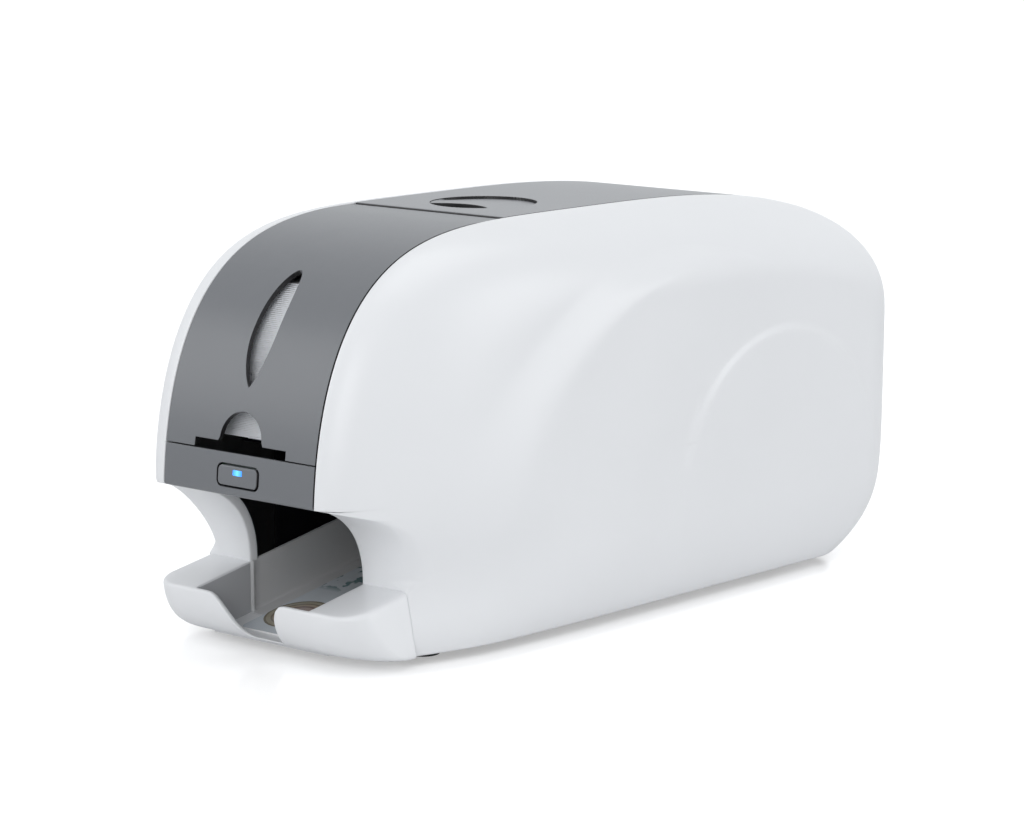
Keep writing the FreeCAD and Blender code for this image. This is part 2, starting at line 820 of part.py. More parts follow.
# Base pan with its feet
base_half = half_width - size.tuck_width - size.cover_wall - size.base_clearance
base_front = front_face + size.base_front_setback
base_rear = rear_face - size.base_rear_setback
base = new_body("Base")
plan = new_sketch(base, "XY_Plane", "BasePlan", size.floor_gap)
base_nose = base_half - size.base_taper_width
base_taper = base_front + size.base_taper_length
draw_outline(plan, [(-base_nose, base_front), (base_nose, base_front),
                    (base_half, base_taper), (base_half, base_rear),
                    (-base_half, base_rear), (-base_half, base_taper)])
pad(base, plan, "BasePad", size.base_floor)
soften(base, "BaseCorners", size.rear_round / 2,
       lambda e: along(Vector(0, 0, 1))(e) and e.CenterOfMass.y > 0)
keep(base, "base_pan")
foot_x = base_nose - size.foot_radius * 1.2
foot_y = size.body_length / 3
feet = [cylinder("Foot", "Z", x, y, 0, size.floor_gap, size.foot_radius)
        for x in (-foot_x, foot_x) for y in (-foot_y, foot_y * 0.9)]
keep(group("Feet", *feet), "rubber_feet")

# Side plates that carry the rollers
feed_y = front_face + size.feed_setback
entry_y = front_face + size.entry_setback
cleaner_y = front_face + size.cleaner_setback
platen_y = front_face + size.platen_setback
exit_y = front_face + size.exit_setback
motor_y = front_face + size.motor_setback
motor_z = drive_height - size.motor_drop
pinch_height = card_top + size.fit_gap + size.pinch_radius
cleaner_height = card_top + size.fit_gap + size.cleaner_radius
plate_front = front_face + size.plate_front_setback
plate_top = cleaner_height + size.plate_crown
plate_outer = size.plate_half_width + size.plate_wall
bore = size.shaft_radius + size.running_gap
pinch_bore = size.pinch_shaft_radius + size.running_gap
for name, side in (("right", 1), ("left", -1)):
    plate = new_body("Plate_" + name)
    start = size.plate_half_width if side > 0 else -plate_outer
    sketch = new_sketch(plate, "YZ_Plane", "PlateSide_" + name, start)
    rear = plate_front + size.plate_length
    draw_outline(sketch, [(plate_front, base_top), (rear, base_top),
                          (rear, plate_top - size.roller_radius * 3),
                          (rear - size.roller_radius * 2, plate_top),
                          (entry_y - size.roller_radius * 2, plate_top),
                          (plate_front, drive_height + size.roller_radius)])
    for y in (feed_y, entry_y, platen_y, exit_y):
        draw_circle(sketch, y, drive_height, bore)
    draw_circle(sketch, entry_y, pinch_height, pinch_bore)
    draw_circle(sketch, exit_y, pinch_height, pinch_bore)
    draw_circle(sketch, cleaner_y, cleaner_height, pinch_bore)
    draw_circle(sketch, motor_y, motor_z, bore)
    pad(plate, sketch, "PlatePad_" + name, size.plate_wall)
    keep(plate, name + "_side_plate")


# Rollers turn in the side plates
def roller(label, y, z, radius, length, shaft, right_end):
    body = new_body("Roller_" + label)
    sketch = new_sketch(body, "XY_Plane", "Profile_" + label)
    left_end = -(plate_outer + size.plate_wall)
    half = as_dim(length) / 2
    draw_outline(sketch, [(left_end, zero), (right_end, zero), (right_end, shaft),
                          (half, shaft), (half, radius), (-half, radius),
                          (-half, shaft), (left_end, shaft)])
    turn(body, sketch, "Turn_" + label)
    put(body, zero, y, z)
    return keep(body, label)


pulley_start = plate_outer + size.fit_gap
pulley_end = pulley_start + size.pulley_width
drive_end = pulley_end + size.plate_wall
idle_end = plate_outer + size.plate_wall
for label, y, length in (("feed_roller", feed_y, size.feed_length),
                         ("entry_roller", entry_y, size.roller_length),
                         ("platen_roller", platen_y, size.roller_length),
                         ("exit_roller", exit_y, size.roller_length)):
    roller(label, y, drive_height, size.roller_radius, length, size.shaft_radius, drive_end)
    wheel = cylinder("Wheel_" + label, "X", pulley_start, y, drive_height,
                     size.pulley_width, size.pulley_radius)
    hole = cylinder("Hole_" + label, "X", pulley_start, y, drive_height,
                    size.pulley_width, size.shaft_radius)
    keep(cut_away("Pulley_" + label, wheel, hole), label.replace("roller", "pulley"))
for label, y in (("entry_pinch_roller", entry_y), ("exit_pinch_roller", exit_y)):
    roller(label, y, pinch_height, size.pinch_radius, size.pinch_length,
           size.pinch_shaft_radius, idle_end)
roller("cleaning_roller", cleaner_y, cleaner_height, size.cleaner_radius,
       size.pinch_length, size.pinch_shaft_radius, idle_end)

# Motor between the plates, its shaft carries the last pulley
motor_case = cylinder("MotorCase", "X", size.plate_half_width - size.motor_length, motor_y,
                      motor_z, size.motor_length, size.motor_radius)
motor_bore = cylinder("MotorBore", "X", size.plate_half_width - size.motor_length / 2,
                      motor_y, motor_z, size.motor_length / 2, bore)
keep(cut_away("Motor", motor_case, motor_bore), "drive_motor")
motor_shaft = cylinder("MotorShaft", "X",
                       size.plate_half_width - size.motor_length / 2 + size.fit_gap,
                       motor_y, motor_z, drive_end - size.plate_half_width
                       + size.motor_length / 2 - size.fit_gap, size.shaft_radius)
motor_wheel = cylinder("MotorWheel", "X", pulley_start, motor_y, motor_z,
                       size.pulley_width, size.pulley_radius)
keep(join("MotorPulley", motor_shaft, motor_wheel), "motor_pulley")


def belt_loop(radius):
    """Area inside a loop that runs round the end pulleys at a radius."""
    centres = [Vector(0, float(feed_y), float(drive_height)),
               Vector(0, float(exit_y), float(drive_height)),
               Vector(0, float(motor_y), float(motor_z))]
    face = Part.Face(Part.makePolygon(centres + centres[:1]))
    return face.makeOffset2D(float(radius))


belt_inner = size.pulley_radius + size.fit_gap
belt = belt_loop(belt_inner + size.belt_thickness).cut(belt_loop(belt_inner))
belt.translate(Vector(float(pulley_start + size.fit_gap), 0, 0))
belt = belt.extrude(Vector(float(size.pulley_width - size.fit_gap * 2), 0, 0))
ready_shape("drive_belt", belt.Solids[0])

# Card deck between the plates
stack_front = front_face + size.stack_front_setback
stack_rear = stack_front + size.card_length
deck_front = stack_rear + size.hopper_wall + size.hopper_side_gap + size.fit_gap
deck_rear = exit_y + size.roller_radius * 2
deck_top = size.card_path_height - size.fit_gap
deck = box("Deck", -size.plate_half_width, size.plate_half_width, deck_front, deck_rear,
           deck_top - size.hopper_floor, deck_top)
hole_half = size.roller_length / 2 + size.overrun
deck_holes = [box("DeckHole", -hole_half, hole_half,
                  y - size.roller_radius, y + size.roller_radius,
                  deck_top - size.hopper_floor * 2, deck_top + size.hopper_floor)
              for y in (entry_y, platen_y, exit_y)]
keep(cut_away("CardDeck", deck, *deck_holes), "card_deck")

# Hopper with leaning walls and its cards
hopper_half = size.card_width / 2 + size.hopper_side_gap + size.hopper_wall
hopper_low = size.card_path_height - size.hopper_floor
hopper_back = stack_rear + size.hopper_side_gap
stack_height = size.body_height - size.stack_top_room - size.card_path_height
stack_lean = stack_height * STACK_LEAN_SHARE
wall_front = stack_front + stack_lean * 0.75
hopper = new_body("Hopper")
side = new_sketch(hopper, "YZ_Plane", "HopperSide")
stack_top = size.card_path_height + stack_height
draw_outline(side, [(wall_front, hopper_low), (hopper_back + size.hopper_wall, hopper_low),
                    (hopper_back + size.hopper_wall, size.card_path_height),
                    (hopper_back + size.hopper_wall + stack_lean, stack_top),
                    (wall_front + stack_lean, stack_top),
                    (wall_front, size.card_path_height)])
pad(hopper, side, "HopperPad", hopper_half * 2, True)
room = new_sketch(hopper, "YZ_Plane", "HopperRoom")
draw_outline(room, [(stack_front, size.card_path_height),
                    (hopper_back, size.card_path_height),
                    (hopper_back + stack_lean * 2,
                     stack_top + stack_height),
                    (stack_front + stack_lean * 2, stack_top + stack_height)])
pocket(hopper, room, "HopperRoomCut", (hopper_half - size.hopper_wall) * 2)
mouth = new_sketch(hopper, "XY_Plane", "FeedMouth", size.card_path_height)
mouth_half = size.feed_length / 2 + size.overrun
draw_box(mouth, -mouth_half, mouth_half,
         feed_y - size.roller_radius, feed_y + size.roller_radius)
pocket(hopper, mouth, "FeedMouthCut", size.hopper_floor * 4)
exit_slot = new_sketch(hopper, "XZ_Plane", "HopperExit", -(hopper_back))
draw_box(exit_slot, -(size.card_width / 2), size.card_width / 2, size.card_path_height,
         size.card_path_height + size.card_thickness * 1.5)
pocket(hopper, exit_slot, "HopperExitCut", size.hopper_wall * 4)
keep(hopper, "card_hopper")
lugs = [box("Lug", x0, x1, hopper_back - size.foot_radius * 2, hopper_back,
            hopper_low, size.card_path_height)
        for x0, x1 in ((hopper_half, size.plate_half_width),
                       (-size.plate_half_width, -hopper_half))]
keep(group("HopperLugs", *lugs), "hopper_brackets")


def card_outline(front_y, z):
    """A card lying flat, with round corners, as a face."""
    card = Part.makeBox(float(size.card_width), float(size.card_length), float(size.card_thickness),
                        Vector(-float(size.card_width) / 2, float(front_y), float(z)))
    card = card.makeFillet(float(size.card_corner_radius),
                           [e for e in card.Edges if along(Vector(0, 0, 1))(e)])
    return min(card.Faces, key=lambda f: f.CenterOfMass.z)


stack = card_outline(stack_front, size.card_path_height).extrude(
    Vector(0, float(stack_lean), float(stack_height)))
ready_shape("blank_cards", stack)

# Output chute and tray
chute_front = tray_back + size.cover_wall + size.fit_gap
slope = (float(size.chute_rear_height) - float(size.chute_front_height)) / float(
    size.chute_length)
floor_front = float(tray_front + size.tray_foot_setback)


def floor_height(y):
    """Top of the sloping floor of the tray and the chute."""
    return float(size.chute_front_height) + (float(y) - floor_front) * slope


def side_block(points, x0, x1):
    """A block across the printer from an outline seen from the side."""
    corners = [Vector(float(x0), float(y), float(z)) for y, z in points]
    face = Part.Face(Part.makePolygon(corners + corners[:1]))
    return face.extrude(Vector(float(x1) - float(x0), 0, 0))


chute_rear = chute_front + size.chute_length
chute_half = size.neck_half_width + size.chute_wall
thick = float(size.chute_wall)
rise = float(size.chute_side_height)
over = float(size.overrun)
low_front = floor_height(chute_front)
low_rear = floor_height(chute_rear)
chute = side_block([(chute_front, low_front - thick), (chute_rear, low_rear - thick),
                    (chute_rear, low_rear + rise), (chute_front, low_front + rise)],
                   -chute_half, chute_half)
chute = chute.cut(side_block(
    [(chute_front - size.overrun, low_front - slope * over),
     (chute_rear + size.overrun, low_rear + slope * over),
     (chute_rear + size.overrun, low_rear + 2 * rise),
     (chute_front - size.overrun, low_front + 2 * rise)],
    -(chute_half - size.chute_wall), chute_half - size.chute_wall))
ready_shape("output_chute", chute)
prop_y = chute_rear - size.foot_radius * 2
prop_top = floor_height(prop_y) - thick
prop = block(-size.foot_radius, size.foot_radius, prop_y, prop_y + size.hopper_wall,
             base_top, prop_top)
ready_shape("chute_prop", prop)

foot = float(size.floor_gap)
rim_back = (tray_back, size.tray_back_height)
rim_front = Vector(0, float(tray_front), float(size.tray_front_height))
tray_half = float(size.tray_half_width)
tray_foot = float(size.tray_foot_half_width)


def tray_setback(share_up):
    """How far the tray's front stands back at a share of its height: a round foot."""
    return float(size.tray_foot_setback) * (1 - math.sqrt(1 - (1 - share_up) ** 2))


def tray_plan(share_up):
    """Outline of the tray cut level: straight back, two round front corners."""
    z = foot + (rim_front.z - foot) * share_up
    half = tray_foot + (tray_half - tray_foot) * share_up
    corner = float(size.tray_corner_radius)
    bend = corner * (1 - math.sqrt(0.5))
    front, back = float(tray_front) + tray_setback(min(1, share_up)), float(tray_back)
    points = [Vector(-half, back, z), Vector(half, back, z), Vector(half, front + corner, z),
              Vector(half - bend, front + bend, z), Vector(half - corner, front, z),
              Vector(corner - half, front, z), Vector(bend - half, front + bend, z),
              Vector(-half, front + corner, z)]
    return Part.Wire([line(points[0], points[1]), line(points[1], points[2]),
                      Part.Arc(points[2], points[3], points[4]).toShape(),
                      line(points[4], points[5]),
                      Part.Arc(points[5], points[6], points[7]).toShape(),
                      line(points[7], points[0])])


above = float(size.tray_back_height - size.floor_gap) / (rim_front.z - foot)
tray = Part.makeLoft([tray_plan(share) for share in TRAY_LEVEL_SHARES + (above,)], True, True)
tray = tray.common(side_block([(tray_back, foot), rim_back, (tray_front, rim_front.z),
                               (front_face, rim_front.z), (front_face, foot)],
                              -half_width, half_width))
bulge = Vector(0, float(tray_front) + tray_setback(BULGE_SHARE),
               foot + (rim_front.z - foot) * BULGE_SHARE)
tray_inner = float(size.neck_half_width)
tray_wall = float(size.tray_wall)
channel = side_block(
    [(floor_front, floor_height(floor_front)),
     (tray_back + size.overrun, floor_height(tray_back + size.overrun)),
     (tray_back + size.overrun, size.body_height),
     (tray_front + tray_wall, size.body_height), (tray_front + tray_wall, size.tray_front_height),
     (bulge.y + tray_wall, bulge.z)],
    -tray_inner, tray_inner)
hollow = block(tray_inner + tray_wall, tray_half - tray_wall * 1.5, tray_front + tray_wall * 2,
               tray_back - tray_wall, 0, size.tray_front_height - tray_wall)
hollow = hollow.common(side_block(
    [(floor_front + tray_wall, foot - over), (tray_back, foot - over),
     (tray_back, rim_front.z),
     (tray_front + tray_wall * 2, rim_front.z), (bulge.y + tray_wall * 1.5, bulge.z)],
    0, half_width))
tray = tray.cut(channel).cut(hollow).cut(mirrored(hollow))
top_half = float(size.finger_half_width)
notch_low = float(size.finger_floor_height)
notch_high = rim_front.z + tray_wall
notch_points = [Vector(top_half * across, 0, notch_low + (notch_high - notch_low) * up)
                for across, up in NOTCH_SHARES]
right_edge = Part.BSplineCurve()
right_edge.interpolate(notch_points)
left_edge = Part.BSplineCurve()
left_edge.interpolate([Vector(-v.x, 0, v.z) for v in notch_points])
notch = Part.Face(Part.Wire([
    right_edge.toShape(), line(notch_points[-1], Vector(-top_half, 0, notch_high)),
    left_edge.toShape(),
    line(Vector(-notch_points[0].x, 0, notch_low), notch_points[0])]))
notch.translate(Vector(0, float(tray_front - size.overrun), 0))
tray = tray.cut(notch.extrude(Vector(0, float(size.tray_foot_setback) + tray_wall, 0)))
ready_shape("output_tray", tray)

card = card_outline(0, 0).extrude(Vector(0, 0, float(size.card_thickness)))
tilt = math.degrees(math.atan(slope))
card_front = floor_front + tray_wall
printed = doc.addObject("Part::Feature", "printed_card")
printed.Shape = card
printed.Placement = FreeCAD.Placement(
    Vector(0, card_front, floor_height(card_front) + float(size.running_gap)),
    FreeCAD.Rotation(Vector(1, 0, 0), tilt))
keep(printed, "printed_card")

# Print head hung from the lid
head_y = platen_y - size.head_length / 2
head_low = card_top + size.fit_gap * 2 + size.film_thickness
head = box("HeadBlock", -(size.head_width / 2), size.head_width / 2, head_y,
           head_y + size.head_length, head_low, head_low + size.head_height)
keep(head, "print_head")
arm_top = size.body_height - size.skin_wall - size.dish_depth - size.fit_gap
arm = box("HeadArm", -(size.head_width / 2 - size.shaft_radius),
          size.head_width / 2 - size.shaft_radius, head_y + size.shaft_radius,
          head_y + size.shaft_radius * 2, head_low + size.head_height, arm_top)
window_cut = box("HeadArmWindow", -(size.head_width / 4), size.head_width / 4,
                 head_y, head_y + size.head_length,
                 head_low + size.head_height * 1.5, arm_top - size.head_height)
keep(cut_away("HeadBracket", arm, window_cut), "head_bracket")

# Ribbon cassette on the side plates
supply_y = front_face + size.supply_setback
takeup_y = front_face + size.takeup_setback
ribbon_z = size.ribbon_height
cheek_outer = size.cheek_half_width + size.cheek_wall
cassette = new_body("Cassette")
cheek = new_sketch(cassette, "YZ_Plane", "CassetteSide")
draw_outline(cheek, [(takeup_y - size.takeup_radius * 1.3, plate_top),
                     (supply_y + size.supply_radius * 1.2, plate_top),
                     (supply_y + size.supply_radius * 1.2, ribbon_z + size.takeup_radius),
                     (takeup_y - size.takeup_radius * 1.3,
                      ribbon_z + size.takeup_radius)])
draw_circle(cheek, supply_y, ribbon_z, size.spool_core_radius + size.running_gap)
draw_circle(cheek, takeup_y, ribbon_z, size.spool_core_radius + size.running_gap)
pad(cassette, cheek, "CassettePad", cheek_outer * 2, True)
between = new_sketch(cassette, "YZ_Plane", "CassetteRoom")
bar = size.takeup_radius * 0.3
draw_box(between, takeup_y - size.takeup_radius * 1.3 + bar,
         supply_y + size.supply_radius * 1.2 - bar, plate_top - size.overrun,
         ribbon_z + size.takeup_radius + size.overrun)
pocket(cassette, between, "CassetteRoomCut", size.cheek_half_width * 2)
keep(cassette, "ribbon_cassette")
rails = [box("Rail", x0, x1, takeup_y, supply_y, plate_top,
             plate_top + size.cheek_wall)
         for x0, x1 in ((cheek_outer, plate_outer), (-plate_outer, -cheek_outer))]
keep(group("CassetteRails", *rails), "cassette_rails")
for label, y, radius in (("supply_spool", supply_y, size.supply_radius),
                         ("takeup_spool", takeup_y, size.takeup_radius)):
    body = new_body("Spool_" + label)
    sketch = new_sketch(body, "XY_Plane", "SpoolProfile_" + label)
    end = cheek_outer + size.cheek_wall / 2
    wind = size.cheek_half_width - size.cheek_wall * 2
    draw_outline(sketch, [(-end, zero), (end, zero), (end, size.spool_core_radius),
                          (wind, size.spool_core_radius), (wind, radius),
                          (-wind, radius), (-wind, size.spool_core_radius),
                          (-end, size.spool_core_radius)])
    turn(body, sketch, "SpoolTurn_" + label)
    put(body, zero, y, ribbon_z)
    keep(body, label)
film_low = float(card_top + size.fit_gap)
film_half = float(size.card_width) / 2
film_gap = float(size.fit_gap)
thin = float(size.film_thickness)
path = [(float(takeup_y + size.takeup_radius) + film_gap, float(ribbon_z)),
        (float(head_y) - float(size.shaft_radius) / 2, film_low),
        (float(head_y + size.head_length) + float(size.shaft_radius) / 2, film_low),
        (float(supply_y - size.supply_radius) - film_gap, float(ribbon_z))]
film = side_block([path[0], path[1], path[2], path[3],
                   (path[3][0] - thin, path[3][1]), (path[2][0] - thin / 2, path[2][1] + thin),
                   (path[1][0] + thin / 2, path[1][1] + thin), (path[0][0] + thin, path[0][1])],
                  -film_half, film_half)
ready_shape("ribbon_film", film)

# Control board on the right plate
board_y0 = platen_y - size.board_length / 3
board_z0 = base_top + size.base_floor
board_x = plate_outer + size.board_standoff
board = box("Board", board_x, board_x + size.board_wall, board_y0,
            board_y0 + size.board_length, board_z0, board_z0 + size.board_height)
chips = [box("Chip", board_x + size.board_wall, board_x + size.board_wall * 3,
             board_y0 + size.board_length * a, board_y0 + size.board_length * b,
             board_z0 + size.board_height * c, board_z0 + size.board_height * d)
         for a, b, c, d in ((0.15, 0.3, 0.3, 0.7), (0.4, 0.5, 0.2, 0.45),
                            (0.6, 0.9, 0.55, 0.8))]
keep(join("ControlBoard", board, *chips), "control_board")
inset = size.shaft_radius * 1.5
posts = [cylinder("Post", "X", plate_outer, board_y0 + a, board_z0 + c,
                  size.board_standoff, size.shaft_radius)
         for a in (inset, size.board_length * 0.8) for c in (inset, size.board_height - inset)]
keep(group("BoardPosts", *posts), "board_posts")

# Rear bulkhead with the fan and the sockets
wall_y = rear_face - size.bulkhead_setback
wall_back = wall_y + size.bulkhead_wall
bulkhead = box("BulkheadPlate", -size.bulkhead_half_width, size.bulkhead_half_width,
               wall_y, wall_back, base_top, base_top + size.bulkhead_height)
air_hole = cylinder("AirHole", "Y", 0, wall_y - size.overrun, size.fan_height,
                    size.bulkhead_wall + size.overrun * 2, size.fan_size * 0.45)
keep(cut_away("Bulkhead", bulkhead, air_hole), "rear_bulkhead")
fan_half = size.fan_size / 2
fan_block = box("FanBlock", -fan_half, fan_half, wall_back, wall_back + size.fan_depth,
                size.fan_height - fan_half, size.fan_height + fan_half)
fan_bore = cylinder("FanBore", "Y", 0, wall_back - size.overrun, size.fan_height,
                    size.fan_depth + size.overrun * 2, size.fan_size * 0.46)
fan_bar = box("FanBar", -fan_half, fan_half, wall_back, wall_back + size.fan_depth * 0.15,
              size.fan_height - size.shaft_radius, size.fan_height + size.shaft_radius)
keep(join("FanHousing", cut_away("FanRing", fan_block, fan_bore), fan_bar), "fan_housing")
hub_y = wall_back + size.fan_depth * 0.15 + size.fit_gap
hub = cylinder("FanHub", "Y", 0, hub_y, size.fan_height, size.fan_depth * 0.75,
               size.fan_size * 0.2)
blades = []
for i in range(7):
    blade = doc.addObject("Part::Box", "FanBlade")
    bind(blade, "Length", size.fan_size * 0.3)
    bind(blade, "Width", size.fan_depth * 0.6)
    bind(blade, "Height", size.fan_depth * 0.08)
    turned = FreeCAD.Rotation(Vector(0, 1, 0), 360 / 7 * (i + 0.5)) * FreeCAD.Rotation(
        Vector(1, 0, 0), 25)
    blade.Placement = FreeCAD.Placement(Vector(), turned)
    root = turned.multVec(Vector(1, 0, 0))
    put(blade, size.fan_size * (0.12 * root.x), hub_y + size.fan_depth * 0.06,
        size.fan_height + size.fan_size * (0.12 * root.z))
    blades.append(blade)
keep(join("FanRotor", hub, *blades), "fan_rotor")

back = skin_plate(lid_rear + size.seam_gap, rear_face, size.floor_gap, size.body_height)
back = back.cut(block(-size.port_window_half_width, size.port_window_half_width, wall_back,
                      rear_face, size.port_window_bottom, size.port_window_top))
for i in range(6):
    low = float(size.fan_height - fan_half) + float(size.fan_size) * (i + 0.25) / 6
    back = back.cut(block(-fan_half, fan_half, wall_back, rear_face + size.overrun, low,
                          low + float(size.fan_size) / 14))
ready_shape("rear_panel", back)

port_y = rear_face - size.bulkhead_setback / 3
port_z = (size.port_window_bottom + size.port_window_top) / 2
port_left = -(size.port_window_half_width * 0.5)
port_right = size.port_window_half_width * 0.6


def port(name, x, width, height):
    """A socket body from the bulkhead to just behind the port plate."""
    return box(name, x - width / 2, x + width / 2, wall_back, port_y, port_z - height / 2,
               port_z + height / 2)


plate_box = box("PortPlateBlank", -(size.port_window_half_width - size.fit_gap),
                size.port_window_half_width - size.fit_gap, port_y - size.bulkhead_wall * 2,
                port_y - size.bulkhead_wall, size.port_window_bottom + size.fit_gap,
                size.port_window_top - size.fit_gap)
inlet = port("InletBody", port_left, size.inlet_width, size.inlet_height)
usb = port("UsbBody", zero + size.fit_gap, size.usb_width, size.usb_height)
switch = port("SwitchBody", port_right, size.switch_width, size.switch_height)
keep(cut_away("PortPlate", plate_box, port("InletHole", port_left, size.inlet_width,
                                           size.inlet_height),
              port("UsbHole", zero + size.fit_gap, size.usb_width, size.usb_height),
              port("SwitchHole", port_right, size.switch_width, size.switch_height)),
     "port_plate")
socket_depth = size.inlet_height / 2
round_socket = cylinder("InletSocket", "Y", port_left, port_y - socket_depth, port_z,
                        size.inlet_height, size.inlet_height * 0.36)
inlet_pin = cylinder("InletPin", "Y", port_left, port_y - socket_depth, port_z,
                     socket_depth * 0.8, size.inlet_height * 0.07)
keep(join("PowerInlet", cut_away("InletCut", inlet, round_socket), inlet_pin),
     "power_inlet")
usb_socket = box("UsbSocket", zero + size.fit_gap - size.usb_width * 0.35,
                 zero + size.fit_gap + size.usb_width * 0.35, port_y - socket_depth, port_y + size.overrun,
                 port_z - size.usb_height * 0.32, port_z + size.usb_height * 0.32)
usb_tongue = box("UsbTongue", zero + size.fit_gap - size.usb_width * 0.2,
                 zero + size.fit_gap + size.usb_width * 0.2, port_y - socket_depth,
                 port_y - size.fit_gap, port_z - size.usb_height * 0.12,
                 port_z + size.usb_height * 0.12)
keep(join("UsbPort", cut_away("UsbCut", usb, usb_socket), usb_tongue), "usb_port")
well = box("SwitchWell", port_right - size.switch_width * 0.35,
           port_right + size.switch_width * 0.35, port_y - socket_depth * 0.7, port_y + size.overrun,
           port_z - size.switch_height * 0.4, port_z + size.switch_height * 0.4)
keep(cut_away("SwitchFrame", switch, well), "switch_frame")
rocker_half = size.switch_width * 0.35 - size.fit_gap
rocker = cylinder("RockerBarrel", "X", port_right - rocker_half, port_y - size.shaft_radius,
                  port_z, rocker_half * 2, size.shaft_radius)
rocker_face = box("RockerFace", port_right - rocker_half, port_right + rocker_half,
                  port_y - size.shaft_radius, port_y,
                  port_z - size.switch_height * 0.34, port_z + size.switch_height * 0.34)
keep(join("Rocker", rocker, rocker_face), "power_rocker")

# Small board behind the button
keep(box("ButtonBoard", -(size.button_width * 0.8), size.button_width * 0.8, board_y,
         board_y + size.board_wall, size.button_centre_height - size.button_height * 0.7,
         size.button_centre_height + size.button_height * 0.7), "button_board")

doc.recompute()

# Write every sub-part
bad = [thing.Label for thing in doc.Objects
       if "Invalid" in thing.State or "Error" in thing.State]
for thing in nodes:
    if thing.Shape.isNull() or not thing.Shape.isValid() or not thing.Shape.Solids:
        bad.append(thing.Label)
if bad:
    raise RuntimeError("not sound: " + ", ".join(bad))
os.makedirs("parts", exist_ok=True)
for thing in nodes:
    thing.Shape.exportStep("parts/%s.step" % thing.Label)
print("sub-parts", len(nodes))
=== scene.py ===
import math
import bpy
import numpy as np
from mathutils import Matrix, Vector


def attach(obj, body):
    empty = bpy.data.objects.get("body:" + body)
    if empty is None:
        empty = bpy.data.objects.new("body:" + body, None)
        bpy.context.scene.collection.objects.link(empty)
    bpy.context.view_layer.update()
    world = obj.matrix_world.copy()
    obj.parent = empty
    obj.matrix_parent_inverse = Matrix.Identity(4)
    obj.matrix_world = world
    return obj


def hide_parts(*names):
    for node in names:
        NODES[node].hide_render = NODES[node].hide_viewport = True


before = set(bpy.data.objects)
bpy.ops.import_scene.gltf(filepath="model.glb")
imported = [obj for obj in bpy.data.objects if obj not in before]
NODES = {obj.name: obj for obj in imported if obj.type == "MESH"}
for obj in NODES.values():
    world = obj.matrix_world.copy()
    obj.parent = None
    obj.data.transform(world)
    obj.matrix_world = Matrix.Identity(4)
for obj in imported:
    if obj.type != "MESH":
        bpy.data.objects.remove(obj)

# %% [markdown]
# # A desktop card printer as surfaces from formulas
#
# The frame that was just loaded holds every CAD sub-part in its place, in metres. The cells
# below draw over it: each moulded shell is a numpy surface, each material is a node tree.
# Hidden metal and rubber parts stay as they are in CAD and get a material.

MM = 0.001
MIRROR = np.array([-1, 1, 1])
join, span = np.concatenate, np.linspace
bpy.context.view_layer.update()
print("CAD nodes:", len(NODES))

# %% [markdown]
# ## Sizes
#
# These are the sizes of the CAD sheet that the surfaces share, in millimetres. The outline
# seen from the side is made of four superellipse quarters about two centres.

# %% Shared sizes
HALF_STRIP, HALF_WIDTH, FLOOR = 49.0, 91.95, 4.5
CROWN_Y, CROWN_Z = -10.0, 200.0
CENTRE_Z = {"front": 60.0, "rear": 128.0}
# run along y, rise along z, power along, power up; how far each shrinks towards the side
QUARTERS = {
    ("front", "top"): (196.5, 140.0, 4.67, 2.26),
    ("rear", "top"): (216.5, 72.0, 2.85, 2.73),
    ("rear", "low"): (216.5, 150.0, 2.85, 5.1),
    ("front", "low"): (196.5, 110.0, 4.67, 5.0),
}
SHRINK = {"front": 107.0, "rear": 40.0, "top": 40.0, "low": 0.0}
SEAM_Y, REAR_SEAM_Y = -76.5, 149.5
PANEL_LOW, PANEL_TOP = 78.0, 98.0
LIP, FOOT_OF_NECK = (-186.5, 72.7), (-161.8, 35.0)

# %% [markdown]
# ## From numbers to a mesh
#
# A surface is a grid of points. Two neighbouring rows and columns give one four-sided face.
# The helper takes arrays only, so no step walks through the points one by one.

# %% Mesh helpers
def quads(rows, columns, closed=False):
    """Faces of a grid: corner (i, j), (i, j+1), (i+1, j+1), (i+1, j) for every cell."""
    across = np.arange(columns if closed else columns - 1)
    i, j = np.meshgrid(np.arange(rows - 1), across, indexing="ij")
    after = (j + 1) % columns
    return np.stack([i * columns + j, i * columns + after, (i + 1) * columns + after,
                     (i + 1) * columns + j], axis=-1).reshape(-1, 4)


def new_object(name, data):
    """An object in the scene."""
    thing = bpy.data.objects.new(name, data)
    bpy.context.scene.collection.objects.link(thing)
    return thing


def add_piece(name, points, faces, material, cad, slot, body="frame", sharp=32):
    """A mesh from points in millimetres and a list of face arrays, in place of a CAD node and
    riding on its body."""
    mesh = bpy.data.meshes.new(name)
    loops = [f.reshape(-1) for f in faces]
    counts = join([np.full(len(f), f.shape[1]) for f in faces])
    mesh.vertices.add(len(points))
    mesh.vertices.foreach_set("co", (np.asarray(points, float) * MM).reshape(-1))
    mesh.loops.add(int(counts.sum()))
    mesh.loops.foreach_set("vertex_index", join(loops).astype(np.int32))
    mesh.polygons.add(len(counts))
    mesh.polygons.foreach_set("loop_start", (np.cumsum(counts) - counts).astype(np.int32))
    mesh.update(calc_edges=True)
    mesh.validate()
    mesh.polygons.foreach_set("use_smooth", np.ones(len(mesh.polygons), bool))
    mesh.set_sharp_from_angle(angle=math.radians(sharp))
    piece = new_object(name, mesh)
    piece.data.materials.append(material)
    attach(piece, body)
    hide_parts(cad)
    print(name, len(points), "points", len(counts), "faces")


